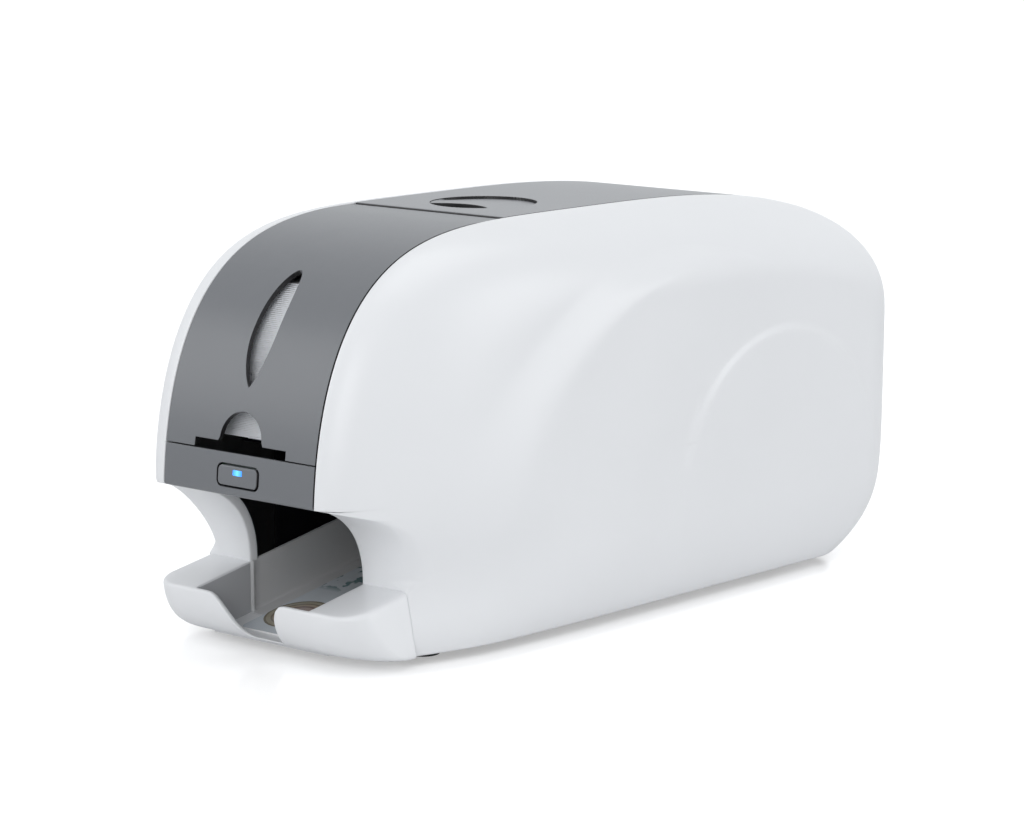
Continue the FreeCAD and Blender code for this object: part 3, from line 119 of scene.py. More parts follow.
def shell(points, normals, thickness):
    """A plate: the grid, its copy moved in along the normals, and walls on open edges."""
    rows, columns = points.shape[:2]
    count = rows * columns
    outer = quads(rows, columns)
    inner = outer[:, ::-1] + count
    edges = join([outer[:, [k, (k + 1) % 4]] for k in range(4)])
    key = np.sort(edges, axis=1)
    _, first, times = np.unique(key, axis=0, return_index=True, return_counts=True)
    rim = edges[first[times == 1]]
    walls = np.stack([rim[:, 1], rim[:, 0], rim[:, 0] + count, rim[:, 1] + count], axis=1)
    both = join([points.reshape(-1, 3), (points - normals * thickness).reshape(-1, 3)])
    return both, [outer, inner, walls]


def flip(faces):
    """The same faces seen from the other side."""
    return [f[:, ::-1] for f in faces]


def place(*parts):
    """Points from their x, y and z, which may be numbers, rows, columns or grids."""
    return np.stack(np.broadcast_arrays(*parts), axis=-1)


def unit(vectors):
    """Vectors of length 1 with the same directions."""
    return vectors / np.linalg.norm(vectors, axis=-1, keepdims=True)


def chord(radius, away):
    """Half a circle's chord at a distance from its middle: sqrt(r^2 - a^2), 0 outside."""
    return np.sqrt(np.clip(radius ** 2 - away ** 2, 0, None))


def quarter(t):
    """A quarter circle from 0 to 1 that starts flat: 1 - sqrt(1 - t^2)."""
    return 1 - np.sqrt(1 - t ** 2)


def bend(a, b, c, t):
    """A curve from a to c drawn towards b: (1 - t)^2 a + 2 t (1 - t) b + t^2 c."""
    return (1 - t) ** 2 * a + 2 * t * (1 - t) * b + t ** 2 * c


def blend(low, high, value):
    """0 below low, 1 above high, and an even S between."""
    t = np.clip((value - low) / (high - low), 0, 1)
    return t * t * (3 - 2 * t)


def weld(points, faces):
    """Joins points that lie on each other and drops the walls that then lie twice."""
    _, first, new = np.unique(np.round(points, 4) + 0.0, axis=0, return_index=True,
                              return_inverse=True)
    faces = new.reshape(-1)[join(faces)]
    _, back, times = np.unique(np.sort(faces, axis=1), axis=0, return_inverse=True,
                               return_counts=True)
    return points[first], [faces[times[back.reshape(-1)] == 1]]


def merge(*parts):
    """Several (points, faces) as one list of points and faces."""
    points, faces, start = [], [], 0
    for some, groups in parts:
        points.append(some)
        faces += [g + start for g in groups]
        start += len(some)
    return join(points), faces


def mirrored(points, faces):
    """A right half together with its mirror image on the left."""
    return weld(*merge((points, faces), (points * MIRROR, flip(faces))))


# %% [markdown]
# ## Materials
#
# Small effects that many materials share are node groups: a fine moulded grain, a thin film
# of dust on faces that look up, and soft edges. Each gives a value or a normal; the shader
# itself stays in the material.

# %% Node helpers
def feed(tree, made, **inputs):
    """Links sockets to a node's inputs, by name or number, or writes constants into them.
    A colour of three numbers covers fully."""
    for key, value in inputs.items():
        name = key.replace("_", " ")
        socket = made.inputs[int(name)] if name.isdigit() else made.inputs[name]
        if isinstance(value, bpy.types.NodeSocket):
            tree.links.new(value, socket)
        elif socket.type == "RGBA":
            socket.default_value = opaque(value)
        else:
            socket.default_value = value


def opaque(colour):
    """Red, green and blue with full cover."""
    return [*colour, 1]


def tint(colour, times):
    """A colour made lighter or darker by a factor."""
    return [min(1, c * times) for c in colour]


def node(tree, kind, **settings):
    """A node with its settings; an input is given by name or number as in_Name or in_0."""
    made = tree.nodes.new(kind)
    for key, value in settings.items():
        if not key.startswith("in_"):
            setattr(made, key, value)
    feed(tree, made, **{key[3:]: value for key, value in settings.items()
                        if key.startswith("in_")})
    return made


def coord(tree, what="Object"):
    """The shaded point in the piece's own axes: its place in metres, or its Normal."""
    return node(tree, "ShaderNodeTexCoord").outputs[what]


def axis_of(tree, what, axis):
    """One number of the shaded point's place or normal."""
    return node(tree, "ShaderNodeSeparateXYZ", in_Vector=coord(tree, what)).outputs[axis]


def maths(tree, operation, *values):
    """The result of one step of arithmetic on one to three values."""
    made = node(tree, "ShaderNodeMath", operation=operation)
    feed(tree, made, **{str(k): value for k, value in enumerate(values)})
    return made.outputs["Value"]


def noise(tree, scale, detail, spot=None, **more):
    """Noise from 0 to 1 at the shaded point, or at another spot."""
    return node(tree, "ShaderNodeTexNoise", in_Vector=spot or coord(tree), in_Scale=scale,
                in_Detail=detail, **more).outputs["Fac"]


def rescale(tree, value, **ends):
    """A value moved from one range to another, by the ends that are given."""
    return node(tree, "ShaderNodeMapRange", in_Value=value, **ends).outputs["Result"]


def mix(tree, share, first, second):
    """Colour between two, by a share from 0 to 1."""
    return node(tree, "ShaderNodeMix", data_type="RGBA", in_0=share, in_6=first,
                in_7=second).outputs[2]


NUMBER, VECTOR = "NodeSocketFloat", "NodeSocketVector"


def new_group(name, inputs, outputs):
    """An empty node group with named sockets: name=(type, default) in, name=type out."""
    tree = bpy.data.node_groups.new(name, "ShaderNodeTree")
    for label, (kind, default) in inputs.items():
        socket = tree.interface.new_socket(name=label, in_out="INPUT", socket_type=kind)
        if default is not None:
            socket.default_value = default
    for label, kind in outputs.items():
        tree.interface.new_socket(name=label, in_out="OUTPUT", socket_type=kind)
    return tree, tree.nodes.new("NodeGroupInput").outputs, tree.nodes.new("NodeGroupOutput")


def use_group(tree, group, **inputs):
    """Outputs of a node group in a tree, with its inputs given as in_Name."""
    return node(tree, "ShaderNodeGroup", node_tree=group, **inputs).outputs


# %% Group: moulded grain
def make_grain():
    """Fine bumps of moulded plastic, with soft wider waves, as a normal and a height."""
    tree, given, end = new_group("moulded grain", dict(
        Scale=(NUMBER, 1400.0), Depth=(NUMBER, 0.2), Wave=(NUMBER, 0.05),
        Normal=(VECTOR, None)), dict(Normal=VECTOR, Height=NUMBER))
    fine = noise(tree, given["Scale"], 3.0, in_Roughness=0.6)
    waves = node(tree, "ShaderNodeBump", in_Height=noise(tree, 22.0, 1.0),
                 in_Strength=given["Wave"], in_Distance=0.002, in_Normal=given["Normal"])
    bumps = node(tree, "ShaderNodeBump", in_Height=fine, in_Strength=given["Depth"],
                 in_Distance=0.0001, in_Normal=waves.outputs["Normal"])
    feed(tree, end, Normal=bumps.outputs["Normal"], Height=fine)
    return tree


GRAIN = make_grain()

# %% Group: dust on top
def make_dust():
    """A mask of light dust: cloudy noise times how much the face looks up."""
    tree, given, end = new_group("dust on top", dict(
        Amount=(NUMBER, 0.15), Scale=(NUMBER, 60.0)), dict(Mask=NUMBER))
    cloud = noise(tree, given["Scale"], 5.0, in_Roughness=0.7)
    up = rescale(tree, axis_of(tree, "Normal", "Z"), in_From_Min=0.3)
    both = maths(tree, "MULTIPLY", cloud, up)
    feed(tree, end, Mask=maths(tree, "MULTIPLY", both, given["Amount"]))
    return tree


DUST = make_dust()

# %% Group: soft edges
def make_edges():
    """A rounded normal at sharp edges."""
    tree, given, end = new_group("soft edges", dict(Radius=(NUMBER, 0.0006)),
                                 dict(Normal=VECTOR))
    bevel = node(tree, "ShaderNodeBevel", samples=4, in_Radius=given["Radius"])
    feed(tree, end, Normal=bevel.outputs["Normal"])
    return tree


EDGES = make_edges()

# %% Moulded plastic
def new_material(name, look):
    """A material whose Principled shader gets what look(tree) returns for its inputs."""
    material = bpy.data.materials.new(name)
    material.use_nodes = True
    tree = material.node_tree
    tree.nodes.clear()
    shader = tree.nodes.new("ShaderNodeBsdfPrincipled")
    node(tree, "ShaderNodeOutputMaterial", in_Surface=shader.outputs["BSDF"])
    feed(tree, shader, **look(tree))
    return material


def inner_faces(tree, half_width, axis, low, high):
    """Mask of faces nearer the middle than a half width whose normal, along one axis,
    lies between two values. The normal is the object's own, so it turns with a cover."""
    away = maths(tree, "ABSOLUTE", axis_of(tree, "Object", "X"))
    near = maths(tree, "LESS_THAN", away, half_width)
    size = maths(tree, "ABSOLUTE", axis_of(tree, "Normal", axis))
    facing = maths(tree, "COMPARE", size, (low + high) / 2, (high - low) / 2)
    return maths(tree, "MULTIPLY", near, facing)


def plastic(name, colour, dusty, roughness, depth=0.2, wave=0.04, dust=0.1, specular=0.5,
            inside=None, back=None):
    """Moulded plastic: base colour, grain, dust on top and softly rounded edges. Inside is
    (half width, axis, low, high, colour) of inner faces in another colour: the tray's grey
    liner, and near-black painted shade on walls of gaps and openings in the grey covers;
    back is a dark grey painted on a thin skin's back, as painted shade inside a cover."""
    def look(tree):
        edges = use_group(tree, EDGES, in_Radius=0.0006)
        grain = use_group(tree, GRAIN, in_Scale=1400.0, in_Depth=depth, in_Wave=wave,
                          in_Normal=edges["Normal"])
        film = use_group(tree, DUST, in_Amount=dust, in_Scale=60.0)
        shade = mix(tree, noise(tree, 9.0, 2.0), tint(colour, 0.97), tint(colour, 1.03))
        shade = mix(tree, film["Mask"], shade, dusty)
        # inner faces: a real grey liner on the tray, and near-black painted shade on the walls of
        # gaps and openings in the grey covers
        if inside:
            shade = mix(tree, inner_faces(tree, *inside[:4]), shade, inside[4])
        # the back of a thin skin is painted dark grey: painted shade inside a cover
        if back:
            behind = node(tree, "ShaderNodeNewGeometry").outputs["Backfacing"]
            shade = mix(tree, behind, shade, back)
        return dict(Base_Color=shade, Normal=grain["Normal"], Specular_IOR_Level=specular,
                    Roughness=rescale(tree, grain["Height"], in_To_Min=roughness - 0.04,
                                      in_To_Max=roughness + 0.05))

    return new_material(name, look)


WHITE_TONE = dict(colour=(0.8, 0.812, 0.832), dusty=(0.76, 0.76, 0.76), roughness=0.34,
                  depth=0.08, wave=0.02, dust=0.05)
GREY_TONE = dict(dusty=(0.4, 0.4, 0.42), roughness=0.34, depth=0.3)
LID_COLOUR, VISOR_COLOUR = (0.19, 0.198, 0.212), (0.142, 0.15, 0.163)
ANYWHERE = 1.0
# The back of the white skins is painted dark grey: painted shade for the inside of the covers.
WHITE = plastic("white cover plastic", **WHITE_TONE, back=(0.14, 0.142, 0.148))
TRAY = plastic("white tray plastic", **WHITE_TONE,
               inside=(0.0371, "X", 0.93, 1.01, (0.5, 0.51, 0.53)))
GREY = plastic("grey cover plastic", LID_COLOUR, **GREY_TONE)
# Steep faces of the lid, its finger dish and its grip are painted near black: painted shade in
# the seam gaps, down the dish wall and on the grip's front.
LID = plastic("grey lid plastic", LID_COLOUR, **GREY_TONE,
              inside=(ANYWHERE, "Z", 0, 0.45, (0.014, 0.014, 0.015)))
# Faces of the front cover, the button panel and the button that face sideways are painted near
# black: painted shade in the card slot, the thumb arch, the window, the sides of the button
# groove and the seams.
VISOR = plastic("grey front cover plastic", VISOR_COLOUR, **GREY_TONE,
                inside=(ANYWHERE, "X", 0.4, 1.01, (0.012, 0.012, 0.013)))
BLACK = plastic("black inner plastic", (0.005, 0.005, 0.006), (0.01, 0.01, 0.01), 0.65,
                dust=0.05, specular=0.03)
DARK = plastic("dark port plastic", (0.055, 0.057, 0.062), (0.12, 0.12, 0.12), 0.45)
CHUTE = plastic("dark grey chute plastic", (0.62, 0.625, 0.635), (0.2, 0.2, 0.2), 0.45)
RUBBER = plastic("black rubber", (0.02, 0.02, 0.02), (0.12, 0.12, 0.12), 0.75, depth=0.6)

# %% Metals
def metal(name, colour, roughness):
    """Brushed metal: noise stretched along one axis tints and roughens the surface."""
    def look(tree):
        brushed = node(tree, "ShaderNodeMapping", in_Scale=(4, 400, 400), in_Vector=coord(tree))
        lines = noise(tree, 4.0, 4.0, brushed.outputs["Vector"])
        return dict(Base_Color=mix(tree, lines, tint(colour, 0.8), colour), Metallic=1.0,
                    Normal=use_group(tree, EDGES, in_Radius=0.0003)["Normal"],
                    Roughness=rescale(tree, lines, in_To_Min=roughness - 0.08,
                                      in_To_Max=roughness + 0.1))

    return new_material(name, look)


STEEL = metal("zinc plated steel", (0.55, 0.56, 0.58), 0.35)
ALUMINIUM = metal("aluminium", (0.72, 0.73, 0.75), 0.3)

# %% Boards, cards, film and light
def steps(tree, value, colours):
    """Colour by value in steps, from (where it starts, colour) in rising order."""
    made = node(tree, "ShaderNodeValToRGB", in_Fac=value)
    ramp = made.color_ramp
    ramp.interpolation = "CONSTANT"
    ramp.elements[1].position = colours[-1][0]
    for position, colour in colours[1:-1]:
        ramp.elements.new(position)
    for element, (position, colour) in zip(ramp.elements, colours):
        element.color = opaque(colour)
    return made.outputs["Color"]


def board_look(tree):
    """Lacquered board: green ground with paler tracks along the edges of cells."""
    cells = node(tree, "ShaderNodeTexVoronoi", feature="DISTANCE_TO_EDGE", in_Scale=260.0,
                 in_Vector=coord(tree))
    lines = rescale(tree, cells.outputs["Distance"], in_From_Min=0.03, in_From_Max=0.09)
    return dict(Base_Color=mix(tree, lines, (0.12, 0.3, 0.12), (0.015, 0.1, 0.04)),
                Roughness=0.35)


def card_look(tree):
    """White card with a hair of grain and greyer cut edges."""
    up = maths(tree, "ABSOLUTE", axis_of(tree, "Normal", "Z"))
    plain = mix(tree, noise(tree, 900.0, 3.0), (0.9, 0.91, 0.92), (0.96, 0.96, 0.96))
    return dict(Base_Color=mix(tree, up, (0.86, 0.88, 0.92), plain), Roughness=0.3)


def film_look(tree):
    """Colour film: wide bands of yellow, red, blue and black along the printer."""
    step = maths(tree, "MULTIPLY_ADD", axis_of(tree, "Object", "Y"), 9.0, 2.2)
    bands = steps(tree, maths(tree, "FRACT", step), (
        (0, (0.75, 0.6, 0.05)), (0.25, (0.55, 0.03, 0.16)), (0.5, (0.02, 0.2, 0.5)),
        (0.75, (0.01, 0.01, 0.012))))
    bump = node(tree, "ShaderNodeBump", in_Height=noise(tree, 120.0, 2.0), in_Strength=0.2,
                in_Distance=0.0004)
    return dict(Base_Color=bands, Normal=bump.outputs["Normal"], Roughness=0.2)


def light_look(tree):
    """Lit window: a bright core that fades to a deeper blue at the ends."""
    away = maths(tree, "ABSOLUTE", axis_of(tree, "Object", "X"))
    glow = mix(tree, rescale(tree, away, in_From_Max=0.0036), (0.12, 0.5, 1.0),
               (0.01, 0.16, 0.9))
    return dict(Emission_Color=glow, Base_Color=glow, Emission_Strength=1.0, Roughness=0.25)


def print_look(tree):
    """A finished card: pale ground, a brown double ring, dark teal blots behind and a white
    cut edge. The ring is coloured by the distance from its middle, 0 to 20 mm."""
    flat = node(tree, "ShaderNodeMapping", in_Vector=coord(tree), in_Scale=(1, 1, 0))
    away = node(tree, "ShaderNodeVectorMath", operation="DISTANCE", in_0=flat.outputs["Vector"],
                in_1=(-0.011, -0.156, 0)).outputs["Value"]
    rings = steps(tree, rescale(tree, away, in_From_Max=0.02), (
        (0, (0.2, 0.08, 0.05)), (0.14, (0.42, 0.3, 0.25)), (0.42, (0.2, 0.11, 0.08)),
        (0.5, (0.4, 0.3, 0.18)), (0.6, (0.17, 0.12, 0.06)), (0.65, (0.34, 0.29, 0.18)),
        (0.76, (0.16, 0.12, 0.05)), (0.82, (0.64, 0.69, 0.74))))
    grain = noise(tree, 90.0, 3.0)
    far = rescale(tree, axis_of(tree, "Object", "Y"), in_From_Min=-0.127, in_From_Max=-0.121)
    leaf = rescale(tree, grain, in_From_Min=0.5, in_From_Max=0.53)
    drawn = mix(tree, maths(tree, "MULTIPLY", far, leaf), rings, (0.04, 0.16, 0.17))
    face = mix(tree, maths(tree, "MULTIPLY", grain, 0.3), drawn, (0.75, 0.8, 0.85))
    level = maths(tree, "GREATER_THAN", axis_of(tree, "Normal", "Z"), 0.6)
    return dict(Base_Color=mix(tree, level, (0.95, 0.95, 0.95), face), Roughness=0.25)


BOARD = new_material("green circuit board", board_look)
CARD = new_material("white card", card_look)
FILM = new_material("ribbon film", film_look)
LIGHT = new_material("blue status light", light_look)
PRINT = new_material("printed card", print_look)

# %% Materials of the CAD nodes
LOOKS = {
    WHITE: ["left_side_cover", "right_side_cover", "output_tray"],
    GREY: ["front_cover", "top_cover", "rear_panel", "front_panel", "status_button",
           "cover_latch"],
    CHUTE: ["output_chute"],
    RUBBER: ["rubber_feet", "feed_roller", "entry_roller", "platen_roller", "exit_roller",
             "cleaning_roller", "drive_belt", "entry_pinch_roller", "exit_pinch_roller"],
    STEEL: ["rear_bulkhead", "front_hinge_pins", "rear_hinge_pins", "head_bracket", "base_pan",
            "board_posts", "drive_motor", "hopper_brackets", "cassette_rails", "chute_prop"],
    DARK: ["port_plate"],
    ALUMINIUM: ["print_head"],
    FILM: ["ribbon_film", "supply_spool", "takeup_spool"],
    BOARD: ["control_board", "button_board"],
    CARD: ["blank_cards", "printed_card"],
    LIGHT: ["button_light"],
}
look_of = {name: look for look, names in LOOKS.items() for name in names}
# Nodes that are not listed take the black inner plastic; on the steel side plates this black is
# painted shade for the dark inside above the chute.
for name, cad in NODES.items():
    cad.data.materials.clear()
    cad.data.materials.append(look_of.get(name, BLACK))
print("plain black inner parts:", len(set(NODES) - set(look_of)))

# %% [markdown]
# ## The outline as a curve
#
# Seen from the side the grey strip follows one closed curve. Its points come from an angle:
# along = run x cos^(2/p), up = rise x sin^(2/q). Measured lengths along it place the seams.

# %% Outline of the strip
def outline(angle):
    """Points (y, z) of the outline; angle 0 is the front, a quarter turn the top."""
    front, top = np.cos(angle) >= 0, np.sin(angle) >= 0
    y, z = np.zeros_like(angle), np.zeros_like(angle)
    for (end, level), (run, rise, power_y, power_z) in QUARTERS.items():
        here = (front == (end == "front")) & (top == (level == "top"))
        y[here] = (CROWN_Y - np.sign(np.cos(angle[here])) * run
                   * np.abs(np.cos(angle[here])) ** (2 / power_y))
        z[here] = (CENTRE_Z[end] + np.sign(np.sin(angle[here])) * rise
                   * np.abs(np.sin(angle[here])) ** (2 / power_z))
    return y, z


turned = span(-math.pi / 2 + 0.05, math.pi * 1.5 - 0.05, 12001)
LINE_Y, LINE_Z = outline(turned)
LINE_S = join([[0], np.cumsum(np.hypot(np.diff(LINE_Y), np.diff(LINE_Z)))])
front_half, top_half = LINE_Y < -80, LINE_Z > 130


def length_at_height(z):
    """Length along the front of the outline where it reaches a height."""
    return np.interp(z, LINE_Z[front_half], LINE_S[front_half])


def front_at(z):
    """Place y of the outline's front at a height."""
    return np.interp(length_at_height(z), LINE_S, LINE_Y)


def length_at_place(y):
    """Length along the top of the outline where it reaches a place."""
    return np.interp(y, LINE_Y[top_half], LINE_S[top_half])


def on_line(s):
    """Points (y, z) of the outline at lengths s."""
    return place(np.interp(s, LINE_S, LINE_Y), np.interp(s, LINE_S, LINE_Z))


def strip_points(x, s, proud=0.0):
    """Points and outward normals of the strip's skin at widths x and lengths s."""
    spot, step = on_line(s), on_line(s + 0.5) - on_line(s - 0.5)
    size = np.hypot(step[..., 0], step[..., 1])
    normal = place(0 * x, -step[..., 1] / size, step[..., 0] / size)
    points = place(x, spot[..., 0], spot[..., 1])
    return points + normal * np.asarray(proud)[..., None], normal


print("outline length in mm:", round(float(LINE_S[-1])))

# %% [markdown]
# ## The front cover
#
# Its columns slide aside round the pointed window, and its lowest rows lift over the card
# slot and the thumb arch, so the openings are true edges of the grid.

# %% Front cover
def lens_reach(value, low, high, half):
    """Half width of the window: half (1 - |u|^p)^q, u from -1 at its foot to 1 at its top."""
    u = np.clip(2 * (value - low) / (high - low) - 1, -1, 1)
    return half * np.where(u > 0, (1 - np.abs(u) ** 2.6) ** 0.52, (1 - u ** 2) ** 0.85)


SLOT_LOW, SLOT_TOP = 98.3, 102.5
HALF_SLOT, HALF_THUMB, THUMB_RISE = 29.5, 13.5, 14.5
LENS_LOW, LENS_TOP, LENS_HALF = 128.0, 179.0, 7.75
# edge of the strip's plates, their thickness, and how they sink and roll down at the lid
EDGE, PLATE_T = HALF_STRIP - 0.4, 2.5
SEAM_ROUND, SEAM_SINK, SINK_RUN, LID_ROUND = 1.1, 0.5, 25, 0.4

columns = join([HALF_THUMB * np.sin(span(0, math.pi / 2, 19)),
                span(14.5, HALF_SLOT, 9), span(29.7, EDGE, 12)])
rise = (HALF_THUMB ** 2 + THUMB_RISE ** 2) / (2 * THUMB_RISE)
arch = chord(rise, columns) - (rise - THUMB_RISE)
low_edge = np.where(columns > HALF_SLOT, SLOT_LOW, SLOT_TOP + np.where(
    columns <= HALF_THUMB, np.clip(arch, 0, None), 0))
s_low = length_at_height(low_edge)
s_lens = length_at_height(LENS_LOW + (LENS_TOP - LENS_LOW) * (
    0.5 - 0.5 * np.cos(span(0, math.pi, 41))))
s_top = length_at_place(SEAM_Y)
rows_low = span(0, 1, 15)[:-1, None]
rows_high = join([span(s_lens[-1], s_top - SEAM_ROUND, 25)[1:],
                  s_top - SEAM_ROUND * np.array([0.8, 0.6, 0.4, 0.25, 0.12, 0.04, 0])])
rows_high = join([s_lens, rows_high])[:, None]
s_rows = join([s_low + (s_lens[0] - s_low) * rows_low,
               np.repeat(rows_high, len(columns), 1)])
heights = np.interp(s_rows, LINE_S, LINE_Z)
opening = np.where((s_rows >= s_lens[0]) & (s_rows <= s_lens[-1]),
                   lens_reach(heights, LENS_LOW, LENS_TOP, LENS_HALF), 0)
x_right = opening + (EDGE - opening) * columns / EDGE


def halves(x, s, proud):
    """Right half as a plate, and the same plate on the left."""
    points, faces = mirrored(*shell(*strip_points(x, s, proud), PLATE_T))
    return points, flip(faces)


# the last rows before the lid roll down on a quarter circle
over = np.clip((s_rows - s_top) / SEAM_ROUND + 1, 0, 1)
roll = SEAM_ROUND * quarter(over) + SEAM_SINK * blend(s_top - SINK_RUN, s_top, s_rows)
add_piece("front_cover_skin", *halves(x_right, s_rows, -roll), VISOR, "front_cover",
          "grey_cover", "visor")

# %% [markdown]
# ## The lid with its finger dish
#
# The same trick opens a round hole in the lid: the half width of the hole at each row is
# that of a circle. The bowl is a profile turned about the vertical, and its rim is lifted
# to the curved skin.

# %% Lid
DISH_Y, DISH_R = -34.5, 26.5
SEAM_GAP = 2.0
lid_front = SEAM_Y + SEAM_GAP
dish_rows = DISH_Y - DISH_R * np.cos(span(0, math.pi, 45))
rows = join([lid_front + np.array([0, 0.05, 0.12, 0.25]),
             span(lid_front + LID_ROUND, dish_rows[0], 7)[:-1], dish_rows,
             span(dish_rows[-1], REAR_SEAM_Y, 40)[1:]])
widths = span(0, 1, 16) ** 1.2
hole = chord(DISH_R, rows - DISH_Y)[:, None]
x_lid = hole + (EDGE - hole) * widths
s_lid = np.repeat(length_at_place(rows)[:, None], len(widths), 1)
over = np.clip(1 - (rows - lid_front) / LID_ROUND, 0, 1)[:, None] + 0 * x_lid
lid = halves(x_lid, s_lid, -LID_ROUND * quarter(over))


def skin_top(y):
    """Height of the strip's skin at a place on the top."""
    return np.interp(y, LINE_Y[top_half], LINE_Z[top_half])


around = span(0, 2 * math.pi, 97)[:-1]
bowl_r = np.array([DISH_R, DISH_R, DISH_R, 26.1, 25.2, 23.8, 16, 8, 0.01])
bowl_z = np.array([0, -2, -3.2, -4.3, -4.8, -5, -5, -5, -5.0])
under_r = np.array([0.01, 12, 27.6, 28.6, 29, 29.0])
under_z = np.array([-7.5, -7.5, -7.5, -7.1, -6.0, -2.6])
ring_r = join([bowl_r, under_r])
ring_z = join([bowl_z, under_z])
bowl_x = np.outer(ring_r, np.cos(around))
bowl_y = DISH_Y + np.outer(ring_r, np.sin(around))
lift = (skin_top(bowl_y) - CROWN_Z) * np.exp(ring_z[:, None] / 2)
bowl = place(bowl_x, bowl_y, CROWN_Z + ring_z[:, None] + lift)
bowl_faces = quads(len(ring_r), len(around), closed=True)
points, faces = merge(lid, (bowl.reshape(-1, 3), [bowl_faces]))
add_piece("top_cover_skin", points, faces, LID, "top_cover", "grey_cover", "lid")

# %% Finger grip in the dish
# the plate's radius, and the bite's radius and how far its middle lies ahead; how deep the
# plate sits in front and how much it falls to the back; how thick it is, and more in front
GRIP_R, CUT_R, CUT_BACK = 26.2, 26.8, 37.0
GRIP_SINK, GRIP_LEAN, GRIP_T, GRIP_SWELL = 0.3, 1.1, 2.2, 2.0
x_grip = GRIP_R * np.sin(span(-math.pi / 2, math.pi / 2, 61))
back, ahead = DISH_Y + chord(GRIP_R, x_grip), DISH_Y - chord(GRIP_R, x_grip)
bite = DISH_Y - CUT_BACK + chord(CUT_R, x_grip)
ahead = np.maximum(ahead, np.minimum(bite, back - 0.01))
share = span(0, 1, 15)[:, None]
y_grip = ahead + (back - ahead) * share
grip = place(x_grip, y_grip, skin_top(y_grip) - GRIP_SINK - GRIP_LEAN * share)
thick = (GRIP_T + GRIP_SWELL * (1 - share) ** 2)[..., None]
points, faces = shell(grip, np.broadcast_to([0.0, 0, 1], grip.shape), thick)
add_piece("finger_grip", points, faces, LID, "cover_latch", "grey_cover", "latch")

# %% [markdown]
# ## The button panel
#
# The panel follows a path that starts under the nose, turns round a small radius and climbs
# the front. The button is a rounded rectangle: rings between its edge and its middle.

# %% Front panel
NOSE_ROUND, NOSE_TOP, PANEL_T = 1.6, 79.7, 2.4
BUTTON_Z, GROOVE = 87.2, 1.0
HALF_BUTTON, BUTTON_RISE, BUTTON_CORNER = 12.8, 4.6, 2.4


def panel_path():
    """Path (y, z) from the lip under the nose, round the corner and up the front."""
    s_up = span(length_at_height(PANEL_LOW + NOSE_ROUND),
                       length_at_height(PANEL_TOP - 0.35), 41)
    climb = on_line(s_up)
    lip = np.array([LIP[0] - 0.3, LIP[1] + 0.2])
    corner = np.array([climb[0, 0], PANEL_LOW - 0.1])
    start = corner + unit(lip - corner) * NOSE_ROUND
    turn = bend(start, corner, climb[0], span(0, 1, 7)[1:-1, None])
    under = lip + (start - lip) * span(0, 1, 9)[:, None]
    return join([under, turn, climb])


def round_reach(value, half_up, half_across, corner):
    """Half width of a rounded rectangle at a distance from its middle line."""
    over = np.clip(np.abs(value) - (half_up - corner), 0, corner)
    inside = half_across - corner + chord(corner, over)
    return np.where(np.abs(value) <= half_up, inside, 0)


path = panel_path()
# more rows where the hole's corners begin and end
extra = BUTTON_Z + np.array([-1, 1])[:, None] * np.array([5.61, 5.599, 5.4, 5.0, 4.3, 3.4])
climb = path[:, 1] > NOSE_TOP
nose = path[~climb]
z_up = np.sort(join([path[climb, 1], extra.reshape(-1)]))
path = join([nose, place(front_at(z_up), z_up)])
slope = unit(np.gradient(path, axis=0))
out = place(0.0, -slope[:, 1], slope[:, 0])
hole = round_reach(path[:, 1] - BUTTON_Z, BUTTON_RISE + GROOVE, HALF_BUTTON + GROOVE,
                   BUTTON_CORNER + GROOVE)
hole[:len(nose)] = 0
widths = span(0, 1, 20)
x_panel = hole[:, None] + (EDGE - hole)[:, None] * widths
panel = place(x_panel, path[:, :1], path[:, 1:])
half, faces = shell(panel, np.repeat(out[:, None, :], len(widths), 1), PANEL_T)
add_piece("front_panel_skin", *mirrored(half, flip(faces)), VISOR, "front_panel", "grey_cover")

# %% Button and light
def rounded_loop(half_across, half_up, corner, count=12):
    """Closed loop (across, up) of a rectangle with round corners."""
    turn = span(0, math.pi / 2, count)
    corners = []
    for k, (sx, sz) in enumerate(((1, 1), (-1, 1), (-1, -1), (1, -1))):
        angle = turn + k * math.pi / 2
        corners.append(place(sx * (half_across - corner) + corner * np.cos(angle),
                             sz * (half_up - corner) + corner * np.sin(angle)))
    return join(corners)


def button_cap(half_across, half_up, corner, middle, proud, depth, edge):
    """Rings from the back of the button forward, over a rounded edge, to its middle."""
    loop = rounded_loop(half_across, half_up, corner)
    turn = span(0, math.pi / 2, 6)
    inset = join([[0, 0], edge * (1 - np.cos(turn)), [edge + 0.6]])
    sink = join([[depth, edge + 0.1], edge * (1 - np.sin(turn)), [0]])
    half = np.array([half_across, half_up])
    plan = [(loop * ((half - shrink) / half), back) for shrink, back in zip(inset, sink)]
    plan += [(plan[-1][0] * share, 0) for share in (0.6, 0.3, 0.001)]
    grid = np.stack([place(ring[:, 0], front_at(ring[:, 1] + middle) - proud + back,
                           ring[:, 1] + middle) for ring, back in plan])
    return grid.reshape(-1, 3), [quads(len(grid), len(loop), closed=True)]


points, faces = button_cap(HALF_BUTTON, BUTTON_RISE, BUTTON_CORNER, BUTTON_Z, 0.4, 5.5, 0.5)
add_piece("status_button_cap", points, faces, VISOR, "status_button", "grey_cover", "button")
points, faces = button_cap(3.0, 1.3, 0.5, BUTTON_Z + 1.7, 0.5, 1.5, 0.15)
add_piece("status_light", points, faces, LIGHT, "button_light", "light_blue", "button")

